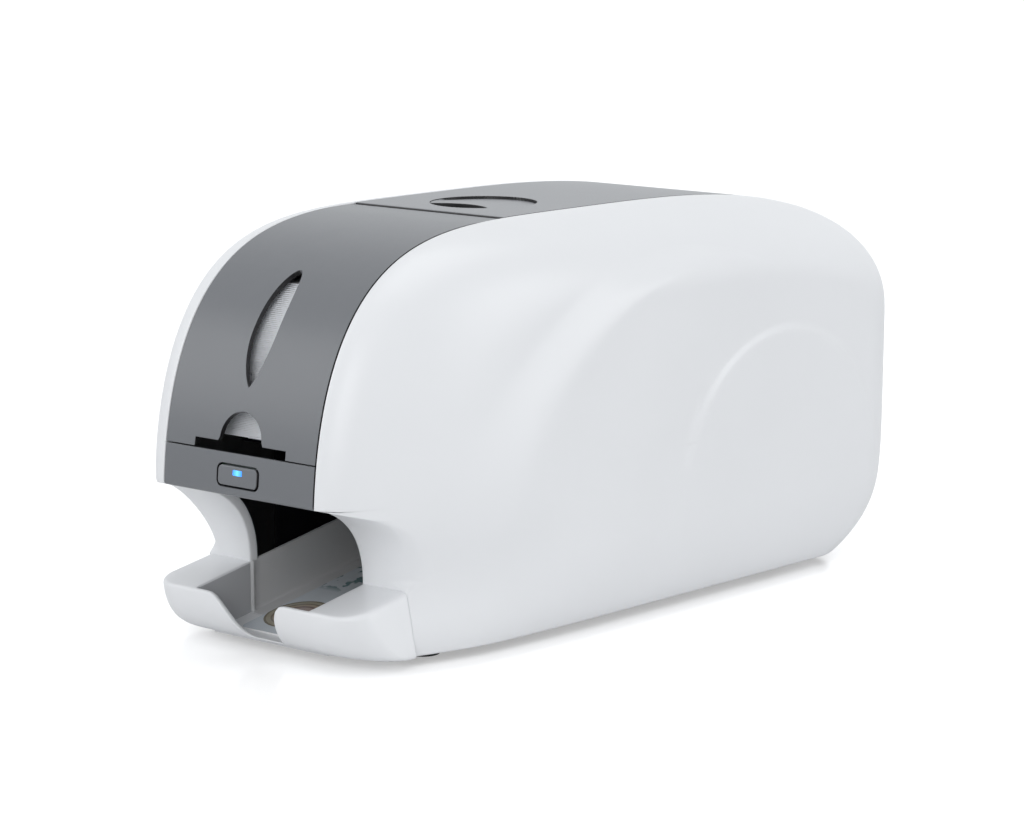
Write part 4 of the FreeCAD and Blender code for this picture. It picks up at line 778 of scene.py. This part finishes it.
# %% [markdown]
# ## The moulded side covers
#
# The half width of the cover at a place (y, z) starts as a quarter ellipse between the
# outline and the flat side. The foot tucks in on an arc, the cheek beside the tray is
# pinched, and two arched steps lift the rear part. Points run along rays from one heart to
# the edge, which is the outline, the floor line or the neck.

# %% Width of a side cover
HEART = np.array([50.0, 85.0])
TUCK_HEIGHT, TUCK_DEPTH = 40.5, 11.0
BAND_STEP, ARCH_STEP, NECK_ROUND = 5.0, 1.0, 12.0
# circles (y, z, radius): outer and inner edge of the broad band, and the narrow arch
BAND_OUTER, BAND_INNER, NARROW_ARCH = (10, 0, 181), (40, 10, 161), (92, 50, 82)
# where the band fades along y; the narrow arch's edge, how far it fades outward and up
BAND_FADE, ARCH_EDGE, ARCH_REACH, ARCH_FADE = (-5, 80), (-1.5, 2.5), 30, (30, 95)
# the cheek's pinch: how deep, at what height and how widely; from where and how far forward
PINCH, PINCH_Z, PINCH_SPREAD, PINCH_REAR, PINCH_RUN = 16, 36.9, 24.3, -46.0, 117.7
TUCK_R = (TUCK_HEIGHT ** 2 + TUCK_DEPTH ** 2) / (2 * TUCK_DEPTH)


def beyond(y, z, circle):
    """Distance of places (y, z) outside a circle (y, z, radius); negative inside."""
    return np.hypot(y - circle[0], z - circle[1]) - circle[2]


def cover_width(y, z):
    """Half width of the cover at places (y, z), as arrays."""
    sink = np.zeros_like(y)
    for (end, level), (run, rise, power_y, power_z) in QUARTERS.items():
        here = ((y < CROWN_Y) == (end == "front")) & (
            (z >= np.where(y < CROWN_Y, CENTRE_Z["front"], CENTRE_Z["rear"]))
            == (level == "top"))
        dy, dz = np.abs(y[here] - CROWN_Y), np.abs(z[here] - CENTRE_Z[end])
        low, high = np.zeros(dy.shape), np.ones(dy.shape)
        for _ in range(22):
            middle = (low + high) / 2
            full = (dy / (run - SHRINK[end] * middle)) ** power_y + (
                dz / (rise - SHRINK[level] * middle)) ** power_z
            low, high = np.where(full < 1, middle, low), np.where(full < 1, high, middle)
        sink[here] = low
    width = HALF_STRIP + (HALF_WIDTH - HALF_STRIP) * np.sqrt(1 - (1 - sink) ** 2)
    below = np.clip(FLOOR + TUCK_HEIGHT - z, 0, TUCK_R)
    width = width - (TUCK_R - np.sqrt(TUCK_R ** 2 - below ** 2))
    ahead = blend(0, 1, (PINCH_REAR - y) / PINCH_RUN)
    width = width - PINCH * ahead * np.exp(-((z - PINCH_Z) / PINCH_SPREAD) ** 2)
    # the broad arched band: lower outside the first circle, full inside the second
    outer, inner = -beyond(y, z, BAND_OUTER), beyond(y, z, BAND_INNER)
    between = outer / np.maximum(outer + inner, 1e-6)
    ramp = np.where(outer <= 0, 0, np.where(inner <= 0, 1, between))
    low = BAND_STEP * (1 - blend(0, 1, ramp)) * (1 - blend(*BAND_FADE, y))
    # the narrow arch behind it: a small step that fades outward and downward
    past = beyond(y, z, NARROW_ARCH)
    fade = np.exp(-(np.clip(past, 0, None) / ARCH_REACH) ** 2) * blend(*ARCH_FADE, z)
    low += ARCH_STEP * blend(*ARCH_EDGE, past) * fade
    width = HALF_STRIP + (width - HALF_STRIP) * (1 - low / (HALF_WIDTH - HALF_STRIP))
    return np.maximum(width, HALF_STRIP)


# %% Edge of a side cover
def neck_curve(count):
    """Points (y, z) from the nose's low corner over the lip and down the neck."""
    a, b = np.array(LIP), np.array(FOOT_OF_NECK)
    half_way = np.array([b[0] - (b[0] - a[0]) * 0.24, a[1] - (a[1] - b[1]) * 0.38])
    # the curve passes through this point half way
    control = (half_way - 0.25 * a - 0.25 * b) / 0.5
    return bend(a, control, b, span(0, 1, count)[:, None])


def cover_edge():
    """Closed edge (y, z) of the cover from the nose's low corner over the top, and its kind:
    0 where it meets the strip, 1 along the floor, 2 along the neck."""
    s0 = length_at_height(PANEL_LOW)
    low_rear = np.interp(-FLOOR, -LINE_Z[LINE_Y > 100], LINE_S[LINE_Y > 100])
    top = on_line(span(s0, low_rear, 330))
    floor = place(span(top[-1, 0], FOOT_OF_NECK[0], 150), FLOOR)
    rise = place(FOOT_OF_NECK[0], span(FLOOR, FOOT_OF_NECK[1], 20))
    neck = neck_curve(30)[::-1]
    nose = np.array(LIP) + (top[0] - np.array(LIP)) * span(0, 1, 12)[:, None]
    parts = (top, floor[1:], rise[1:], neck[1:], nose[1:-1])
    kinds = (0, 1, 2, 2, 2)
    return (join(parts),
            join([np.full(len(p), k) for p, k in zip(parts, kinds)]))


edge, kind = cover_edge()
print("edge points:", len(edge))

# %% Skin and rim of the covers
# how round the edge is, how far the skin rolls in at the seam, and its clearance there
EDGE_ROUND, SEAM_ROLL, SEAM_CLEAR = 1.2, 0.7, 0.15
# how far the rim goes in at the seam and along the floor, and its half width on the neck
SEAM_DEPTH, FLOOR_DEPTH, NECK_HALF = 6.0, 2.5, 37.0
# the edge is tight at the nose, floor and seam and wide low on the neck
neck_share = np.clip((edge[:, 1] - FOOT_OF_NECK[1]) / (LIP[1] - FOOT_OF_NECK[1]), 0, 1)
on_neck = (kind == 2) & (edge[:, 1] > FOOT_OF_NECK[1]) & (edge[:, 1] < LIP[1])
round_r = np.where(on_neck, EDGE_ROUND + blend(0, 0.1, neck_share)
                   * (0.8 + NECK_ROUND * (1 - neck_share) ** 0.9), EDGE_ROUND)
slope = unit(np.roll(edge, -1, 0) - np.roll(edge, 1, 0))
# plain points into the cover, at a right angle to its edge
plain = place(0.0, slope[:, 1], -slope[:, 0])
toward_heart = HEART - edge
plain *= np.sign((plain[:, 1:] * toward_heart).sum(1))[:, None]
straight_in = (plain[:, 1:] * toward_heart).sum(1)
ray_end = np.where(kind == 0, 1, 1 - round_r / straight_in)

v = span(0, 1, 101)[1:, None, None]
share = (1 - (1 - v) ** 1.7) * ray_end[None, :, None]
ray_y, ray_z = np.moveaxis(HEART + (edge - HEART) * share, -1, 0)
skin = place(cover_width(ray_y, ray_z), ray_y, ray_z)

corner = place(cover_width(*edge.T), *edge.T)
corner[kind == 0, 0] = HALF_STRIP + SEAM_CLEAR
seam = (kind == 0)[:, None]
inward = np.where(seam, plain, [-1.0, 0, 0])
skin[-1] = np.where(seam, corner + [SEAM_ROLL, 0, 0], skin[-1])
reach_in = np.where(kind == 0, SEAM_ROLL, round_r)[:, None]
depth = np.select([kind == 0, kind == 1], [SEAM_DEPTH, FLOOR_DEPTH],
                  corner[:, 0] - NECK_HALF)[:, None]
t = span(0, 1, 9)[1:, None, None]
rim = list(bend(skin[-1], corner, corner + inward * reach_in, t))
end = corner + inward * depth
lip = (kind == 2)[:, None]
rim.append(corner + inward * np.maximum(depth * 0.5, reach_in))
rim.append(end - inward * 0.8 * lip)
rim.append(end - inward * 0.24 * lip + plain * 0.24)
rim.append(end + plain * 0.8)
hem = end + plain * 5.0 * lip + plain * 2.5 * (kind == 1)[:, None]
rim += [hem, hem - inward * 6.0 * lip]
grid = join([skin, np.stack(rim)])
heart = np.array([[HALF_WIDTH, HEART[0], HEART[1]]])
count = len(edge)
ring = np.arange(count)
fan = place(len(grid) * count, (ring + 1) % count, ring)
points = join([grid.reshape(-1, 3), heart])
sides = [quads(len(grid), count, closed=True)[:, ::-1], fan[:, ::-1]]
add_piece("right_cover_skin", points, flip(sides), WHITE, "right_side_cover", "white_cover",
          sharp=50)
add_piece("left_cover_skin", points * MIRROR, sides, WHITE, "left_side_cover",
          "white_cover", sharp=50)

# %% [markdown]
# ## Output tray and chute
#
# The tray's wall is one closed tube: its section (foot, outer wall, round rim, top, inner
# wall) travels from one back corner round the front to the other. At each height the plan
# is a straight side, a round corner and a straight front; the front stands back towards the
# foot on an arc, and the finger notch lowers the rim along an S.

# %% Tray
TRAY_BACK, TRAY_FRONT, TRAY_WALL, HALF_CHANNEL = -161.8, -199.0, 2.8, 37.0
RIM_LOW, RIM_HIGH, FOOT_SETBACK, TRAY_CORNER = 28.0, 35.0, 17.5, 14.0
HALF_FOOT, SIDE_LEAN, FOOT_ROUND, WALL_LOW = 71.5, 5.0, 1.8, 6.2
FLOOR_TOP, TRAY_FLOOR_T = 6.4, 0.9
CHUTE_SLOPE = (34.0 - FLOOR_TOP) / 150.0
FLOOR_FRONT = TRAY_FRONT + FOOT_SETBACK


def floor_height(y):
    """Top of the floor that slopes down to the tray."""
    return FLOOR_TOP + (y - FLOOR_FRONT) * CHUTE_SLOPE


def tray_half(z):
    """Half width of the tray at a height."""
    return HALF_FOOT - SIDE_LEAN * (z - FLOOR) / (RIM_LOW - FLOOR)


def tray_front(z):
    """Place of the tray's front at a height: front + setback (1 - sqrt(1 - (1 - h)^2))."""
    h = np.clip((z - FLOOR) / (RIM_LOW - FLOOR), 0, 1)
    return TRAY_FRONT + FOOT_SETBACK * quarter(1 - h)


side_share = span(0, 1, 14)[:-1]
corner_turn = span(0, math.pi / 2, 14)
front_share = span(1, 0, 9)[1:-1]
front_x = join([span(HALF_CHANNEL, 30.0, 5), span(29.4, 17, 20),
                span(16.8, 12.5, 24), span(12, 0, 20)])
parts = join([np.full(len(side_share), 0), np.full(len(corner_turn), 1),
              np.full(len(front_share), 2), np.full(len(front_x), 3)])
amount = join([side_share, corner_turn, front_share, front_x])


def wall_plan(z):
    """Place (x, y) on the tray's outer wall for every column, at that column's height."""
    half, front = tray_half(z), tray_front(z)
    # the corner is wider towards the foot
    low = np.clip(1 - (z - FLOOR) / (RIM_LOW - FLOOR), 0, 1)
    round_x, round_y = TRAY_CORNER + 18 * low, TRAY_CORNER - 1 + 5 * low
    bend_y, bend_x = front + round_y, half - round_x
    x = np.select([parts == 0, parts == 1, parts == 2],
                  [half, bend_x + round_x * np.cos(amount),
                   HALF_CHANNEL + (bend_x - HALF_CHANNEL) * amount], amount)
    y = np.select([parts == 0, parts == 1],
                  [TRAY_BACK + (bend_y - TRAY_BACK) * amount,
                   bend_y - round_y * np.sin(amount)], front)
    return x, y


notch_x = np.array([-80, -31, -27, -24, -21, -18.5, -16, -13.5, -11, -9, -7, -5, 0, 13,
                    13.8, 14.4, 15, 16.2, 18.5, 21.5, 80.0])
notch_z = np.array([28, 28, 27.8, 26.6, 24, 21, 17.3, 13, 9.3, 7.3, 6.2, 5.9, 5.9, 5.9,
                    7.5, 14, 21, 25, 27.4, 28, 28.0])
fine_x = span(-84, 84, 1681)
kernel = np.hanning(9) / np.hanning(9).sum()
fine_z = np.convolve(np.pad(np.interp(fine_x, notch_x, notch_z), 4, mode="edge"), kernel,
                     "valid")


def rim_height(x, y):
    """Height of the rim: it climbs to the back, and the notch lowers it."""
    climb = RIM_LOW + (RIM_HIGH - RIM_LOW) * np.clip(
        (y - TRAY_FRONT) / (TRAY_BACK - TRAY_FRONT), 0, 1)
    return climb - RIM_LOW + np.interp(x, fine_x, fine_z)


# columns beside the channel; the others lie across it
past = parts < 3
levels = span(WALL_LOW, RIM_LOW, 200)


def wall_at(z):
    """Points of the outer wall at one height per column."""
    return place(*wall_plan(z), z)


def bend_rows(a, b, c, count=6):
    """Rows of a curve from a to c that leaves towards b and arrives from b."""
    return list(bend(a, b, c, span(0, 1, count)[:, None, None]))


def tray_side(side):
    """Rows of the wall's section for one side: 1 is the right, -1 the left."""
    top = np.full(len(parts), RIM_LOW)
    for _ in range(6):
        x, y = wall_plan(top)
        top = 0.5 * top + 0.5 * rim_height(side * x, y)
    x, y = wall_plan(top)
    top = rim_height(side * x, y)
    rim_x, rim_y = wall_plan(top)
    run = np.cumsum(join([[0], np.hypot(np.diff(rim_x), np.diff(rim_y))]))
    along = np.clip(run / run[~past][0], 0, 1)
    inner_y = TRAY_BACK + (TRAY_FRONT + TRAY_WALL - TRAY_BACK) * along
    inner_x = np.where(past, HALF_CHANNEL, rim_x - 0.05)
    inner_y = np.where(past, inner_y, tray_front(top) + TRAY_WALL)
    inner_top = np.where(past, rim_height(80.0, inner_y), top)
    slope_z = np.interp(inner_y, (tray_front(levels) + TRAY_WALL)[::-1], levels[::-1])
    inner_low = np.where(past, np.where(inner_y > tray_front(WALL_LOW) + TRAY_WALL,
                                        floor_height(inner_y), slope_z), WALL_LOW)
    inner_low = np.minimum(inner_low, inner_top - 0.05)

    gap = np.hypot(rim_x - inner_x, rim_y - inner_y)
    outer_r = np.minimum(np.minimum(2.6, 0.49 * gap), 0.5 * (top - FLOOR))
    inner_r = np.minimum(np.minimum(1.6, 0.49 * gap), 0.5 * (inner_top - inner_low))
    # outer and inner corner of the rim before they are rounded
    outer_top, inner_edge = place(rim_x, rim_y, top), place(inner_x, inner_y, inner_top)
    toward = unit(inner_edge - outer_top)

    def inner_at(z):
        """Points of the inner wall at one height per column."""
        return place(inner_x, np.where(past, inner_y, tray_front(z) + TRAY_WALL), z)

    level = np.full(len(parts), FLOOR)
    foot, start, stop = wall_at(level), FLOOR + FOOT_ROUND, top - outer_r
    center = place(inner_x, np.maximum(inner_y, FLOOR_FRONT + 2), level)
    under = unit(center - foot) * FOOT_ROUND
    rows = bend_rows(foot + under, foot, wall_at(level + FOOT_ROUND), 5)
    rows += [wall_at(np.minimum(start + (stop - start) * k, top))
             for k in span(0, 1, 12)[1:-1]]
    first, last = toward * outer_r[:, None], toward * inner_r[:, None]
    rows += bend_rows(wall_at(stop), outer_top, outer_top + first)
    rows += [outer_top + first + (inner_edge - outer_top - first - last) * k
             for k in (0.25, 0.5, 0.75)]
    rows += bend_rows(inner_edge - last, inner_edge, inner_at(inner_top - inner_r))
    rows += [inner_at(inner_top - inner_r + (inner_low - inner_top + inner_r) * k)
             for k in (0.33, 0.66, 1)]
    rows += [center]
    return np.stack(rows) * np.array([side, 1, 1])


tube = join([tray_side(1), tray_side(-1)[:, ::-1][:, 1:]], axis=1)
count_v, count_u = tube.shape[:2]
faces = quads(count_u, count_v, closed=True)
tube = tube.transpose(1, 0, 2).reshape(-1, 3)
caps = np.stack([np.arange(count_v)[::-1], np.arange(count_v) + (count_u - 1) * count_v])
floor_y = span(-185.5, TRAY_BACK - 0.1, 12)
floor_x = span(-HALF_CHANNEL - 0.5, HALF_CHANNEL + 0.5, 9)
plate = place(floor_x, floor_y[:, None], floor_height(floor_y)[:, None])
plate, plate_faces = shell(plate, np.broadcast_to([0.0, 0, 1.0], plate.shape), TRAY_FLOOR_T)
points, faces = merge((tube, [faces, caps]), (plate, plate_faces))
add_piece("output_tray_shell", points, faces, TRAY, "output_tray", "white_cover", sharp=50)

# %% Chute
CHUTE_T, BEAD, BEAD_Y, BEAD_SPREAD = 1.9, 0.022, -160.2, 1.2
half_u = np.array([[0, 0], [17, 0], [34, 0], [36, 0.35], [36.7, 1.2], [36.9, 3], [36.9, 8],
                   [36.9, 14], [36.9, 20], [36.9, 23.9], [37.25, 24.7], [38, 25.0],
                   [38.75, 24.7], [39, 24.0]])
profile = join([half_u[::-1] * [-1, 1], half_u[1:]])
chute_y = join([span(-161.6, -159.4, 12), span(-158.5, -9.4, 40)])
# near the tray the chute narrows a little, which shows a pale bead there
bead = 1 - BEAD * np.exp(-((chute_y - BEAD_Y) / BEAD_SPREAD) ** 2)[:, None]
chute = place(profile[:, 0] * bead, chute_y[:, None],
              floor_height(chute_y)[:, None] + profile[:, 1])
slope = np.gradient(profile, axis=0)
out = unit(place(-slope[:, 1], 0.0, slope[:, 0]))
points, faces = shell(chute, np.broadcast_to(out, chute.shape), CHUTE_T)
add_piece("output_chute_shell", points, faces, CHUTE, "output_chute", "chute_grey")

# %% [markdown]
# ## Cards
#
# Every blank card is one thin plate with round corners, set a little off its neighbours.

# %% Stack of blank cards
def card_plate(z0, thickness, loop):
    """Rings of one card: middle, edge low, edge high, middle."""
    low = join([loop, np.full((len(loop), 1), z0)], axis=1)
    high = low + np.array([0, 0, thickness])
    return np.stack([low * [0.001, 0.001, 1], low, high, high * [0.001, 0.001, 1]])


CARD_T, CARD_W, CARD_L, CARD_CORNER = 0.76, 54.0, 85.6, 3.18
STACK_FOOT, STACK_HEIGHT, PITCH = 98, 75, 0.8
STACK_GAP, LOW_GAP, DRAWN_BACK, DRAWN_TO = 7, 6, 17, (101.9, 102.3)
loop = rounded_loop(CARD_W / 2, CARD_L / 2, CARD_CORNER, count=5)
random = np.random.default_rng(7)
stack = []
cards = int(STACK_HEIGHT / PITCH)
for k in range(cards):
    z = STACK_FOOT + k * PITCH
    card = card_plate(z, CARD_T - 0.1, loop)
    # the stack leans back with the cover, closer to it towards the top; its lowest six
    # cards are drawn back, which leaves the slot dark
    card_front = (front_at(z + 2) + STACK_GAP + LOW_GAP * (1 - k / cards) ** 2
                  + DRAWN_BACK * (1 - blend(*DRAWN_TO, z)))
    card += np.array([random.normal(0, 0.1), card_front + CARD_L / 2 + random.normal(0, 0.12), 0])
    stack.append((card.reshape(-1, 3), [quads(4, len(loop), closed=True)]))
points, faces = merge(*stack)
add_piece("blank_card_stack", points, faces, CARD, "blank_cards", "card_white")

# %% Printed card in the tray
tilt = math.atan(CHUTE_SLOPE)
front = FLOOR_FRONT + TRAY_WALL
card = card_plate(0.05, CARD_T, rounded_loop(CARD_W / 2, CARD_L / 2, CARD_CORNER))
card += [0, CARD_L / 2, 0]
deep, high = card[..., 1], card[..., 2]
card = place(card[..., 0], front + deep * math.cos(tilt) - high * math.sin(tilt),
             floor_height(front) + deep * math.sin(tilt) + high * math.cos(tilt))
add_piece("printed_card_plate", card.reshape(-1, 3), [quads(*card.shape[:2], closed=True)],
          PRINT, "printed_card", "card_white")

# %% [markdown]
# ## Studio
#
# A pale floor, an even white world and four square lamps stand round the printer. They and
# the camera are not part of it.

# %% Background, floor and camera
def floor_look(tree):
    """Pale floor with a faint sheen; a glow that only the camera sees keeps it white."""
    seen = node(tree, "ShaderNodeLightPath").outputs["Is Camera Ray"]
    return dict(Base_Color=mix(tree, noise(tree, 300.0, 2.0), (0.9, 0.9, 0.905),
                               (0.93, 0.93, 0.93)), Roughness=0.15, Specular_IOR_Level=0.5,
                Emission_Strength=maths(tree, "MULTIPLY", seen, 0.37),
                Emission_Color=(1, 1, 1))


grid = np.stack(np.meshgrid(span(-9000, 9000, 3), span(-6000, 12000, 3),
                            indexing="ij") + [np.zeros((3, 3))], axis=-1)
mesh = bpy.data.meshes.new("floor")
mesh.from_pydata((grid.reshape(-1, 3) * MM).tolist(), [], quads(3, 3).tolist())
floor = new_object("floor", mesh)
floor.data.materials.append(new_material("pale floor", floor_look))

scene = bpy.context.scene
world = bpy.data.worlds.new("white studio")
scene.world = world
world.use_nodes = True
air = world.node_tree
ray = node(air, "ShaderNodeLightPath").outputs
seen = maths(air, "MAXIMUM", ray["Is Camera Ray"], ray["Is Glossy Ray"])
feed(air, air.nodes["Background"], Color=(0.96, 0.98, 1),
     Strength=rescale(air, seen, in_To_Min=0.48, in_To_Max=1.04))
scene.view_settings.view_transform = "Standard"

for name, spot, size, power in (("top light", (0.2, 0.1, 1.9), 1.6, 11),
                                ("front left light", (-1.6, -1.6, 1.0), 1.2, 9),
                                ("front right light", (0.9, -1.9, 0.9), 1.2, 12),
                                ("right rear light", (2.04, 1.2, 0.72), 1.2, 11)):
    lamp = bpy.data.lights.new(name, "AREA")
    lamp.shape, lamp.size, lamp.energy = "SQUARE", size, power
    light = new_object(name, lamp)
    light.location = spot
    # it looks at the printer's middle
    toward = Vector((0, 0, 0.1)) - Vector(spot)
    light.rotation_euler = toward.to_track_quat("-Z", "Y").to_euler()

camera = bpy.data.cameras.new("camera")
camera.lens, camera.sensor_width = 121.9, 36
viewer = new_object("camera", camera)
azimuth, elevation = math.radians(41.1), math.radians(9.85)
right = np.array([math.cos(azimuth), math.sin(azimuth), 0])
back = np.array([math.sin(azimuth) * math.cos(elevation),
                 -math.cos(azimuth) * math.cos(elevation), math.sin(elevation)])
up = np.cross(back, right)
spot = (1.1263, -1.3043, 0.3911)
viewer.matrix_world = Matrix([[*row] for row in zip(right, up, back, spot)] + [[0, 0, 0, 1]])
scene.camera = viewer
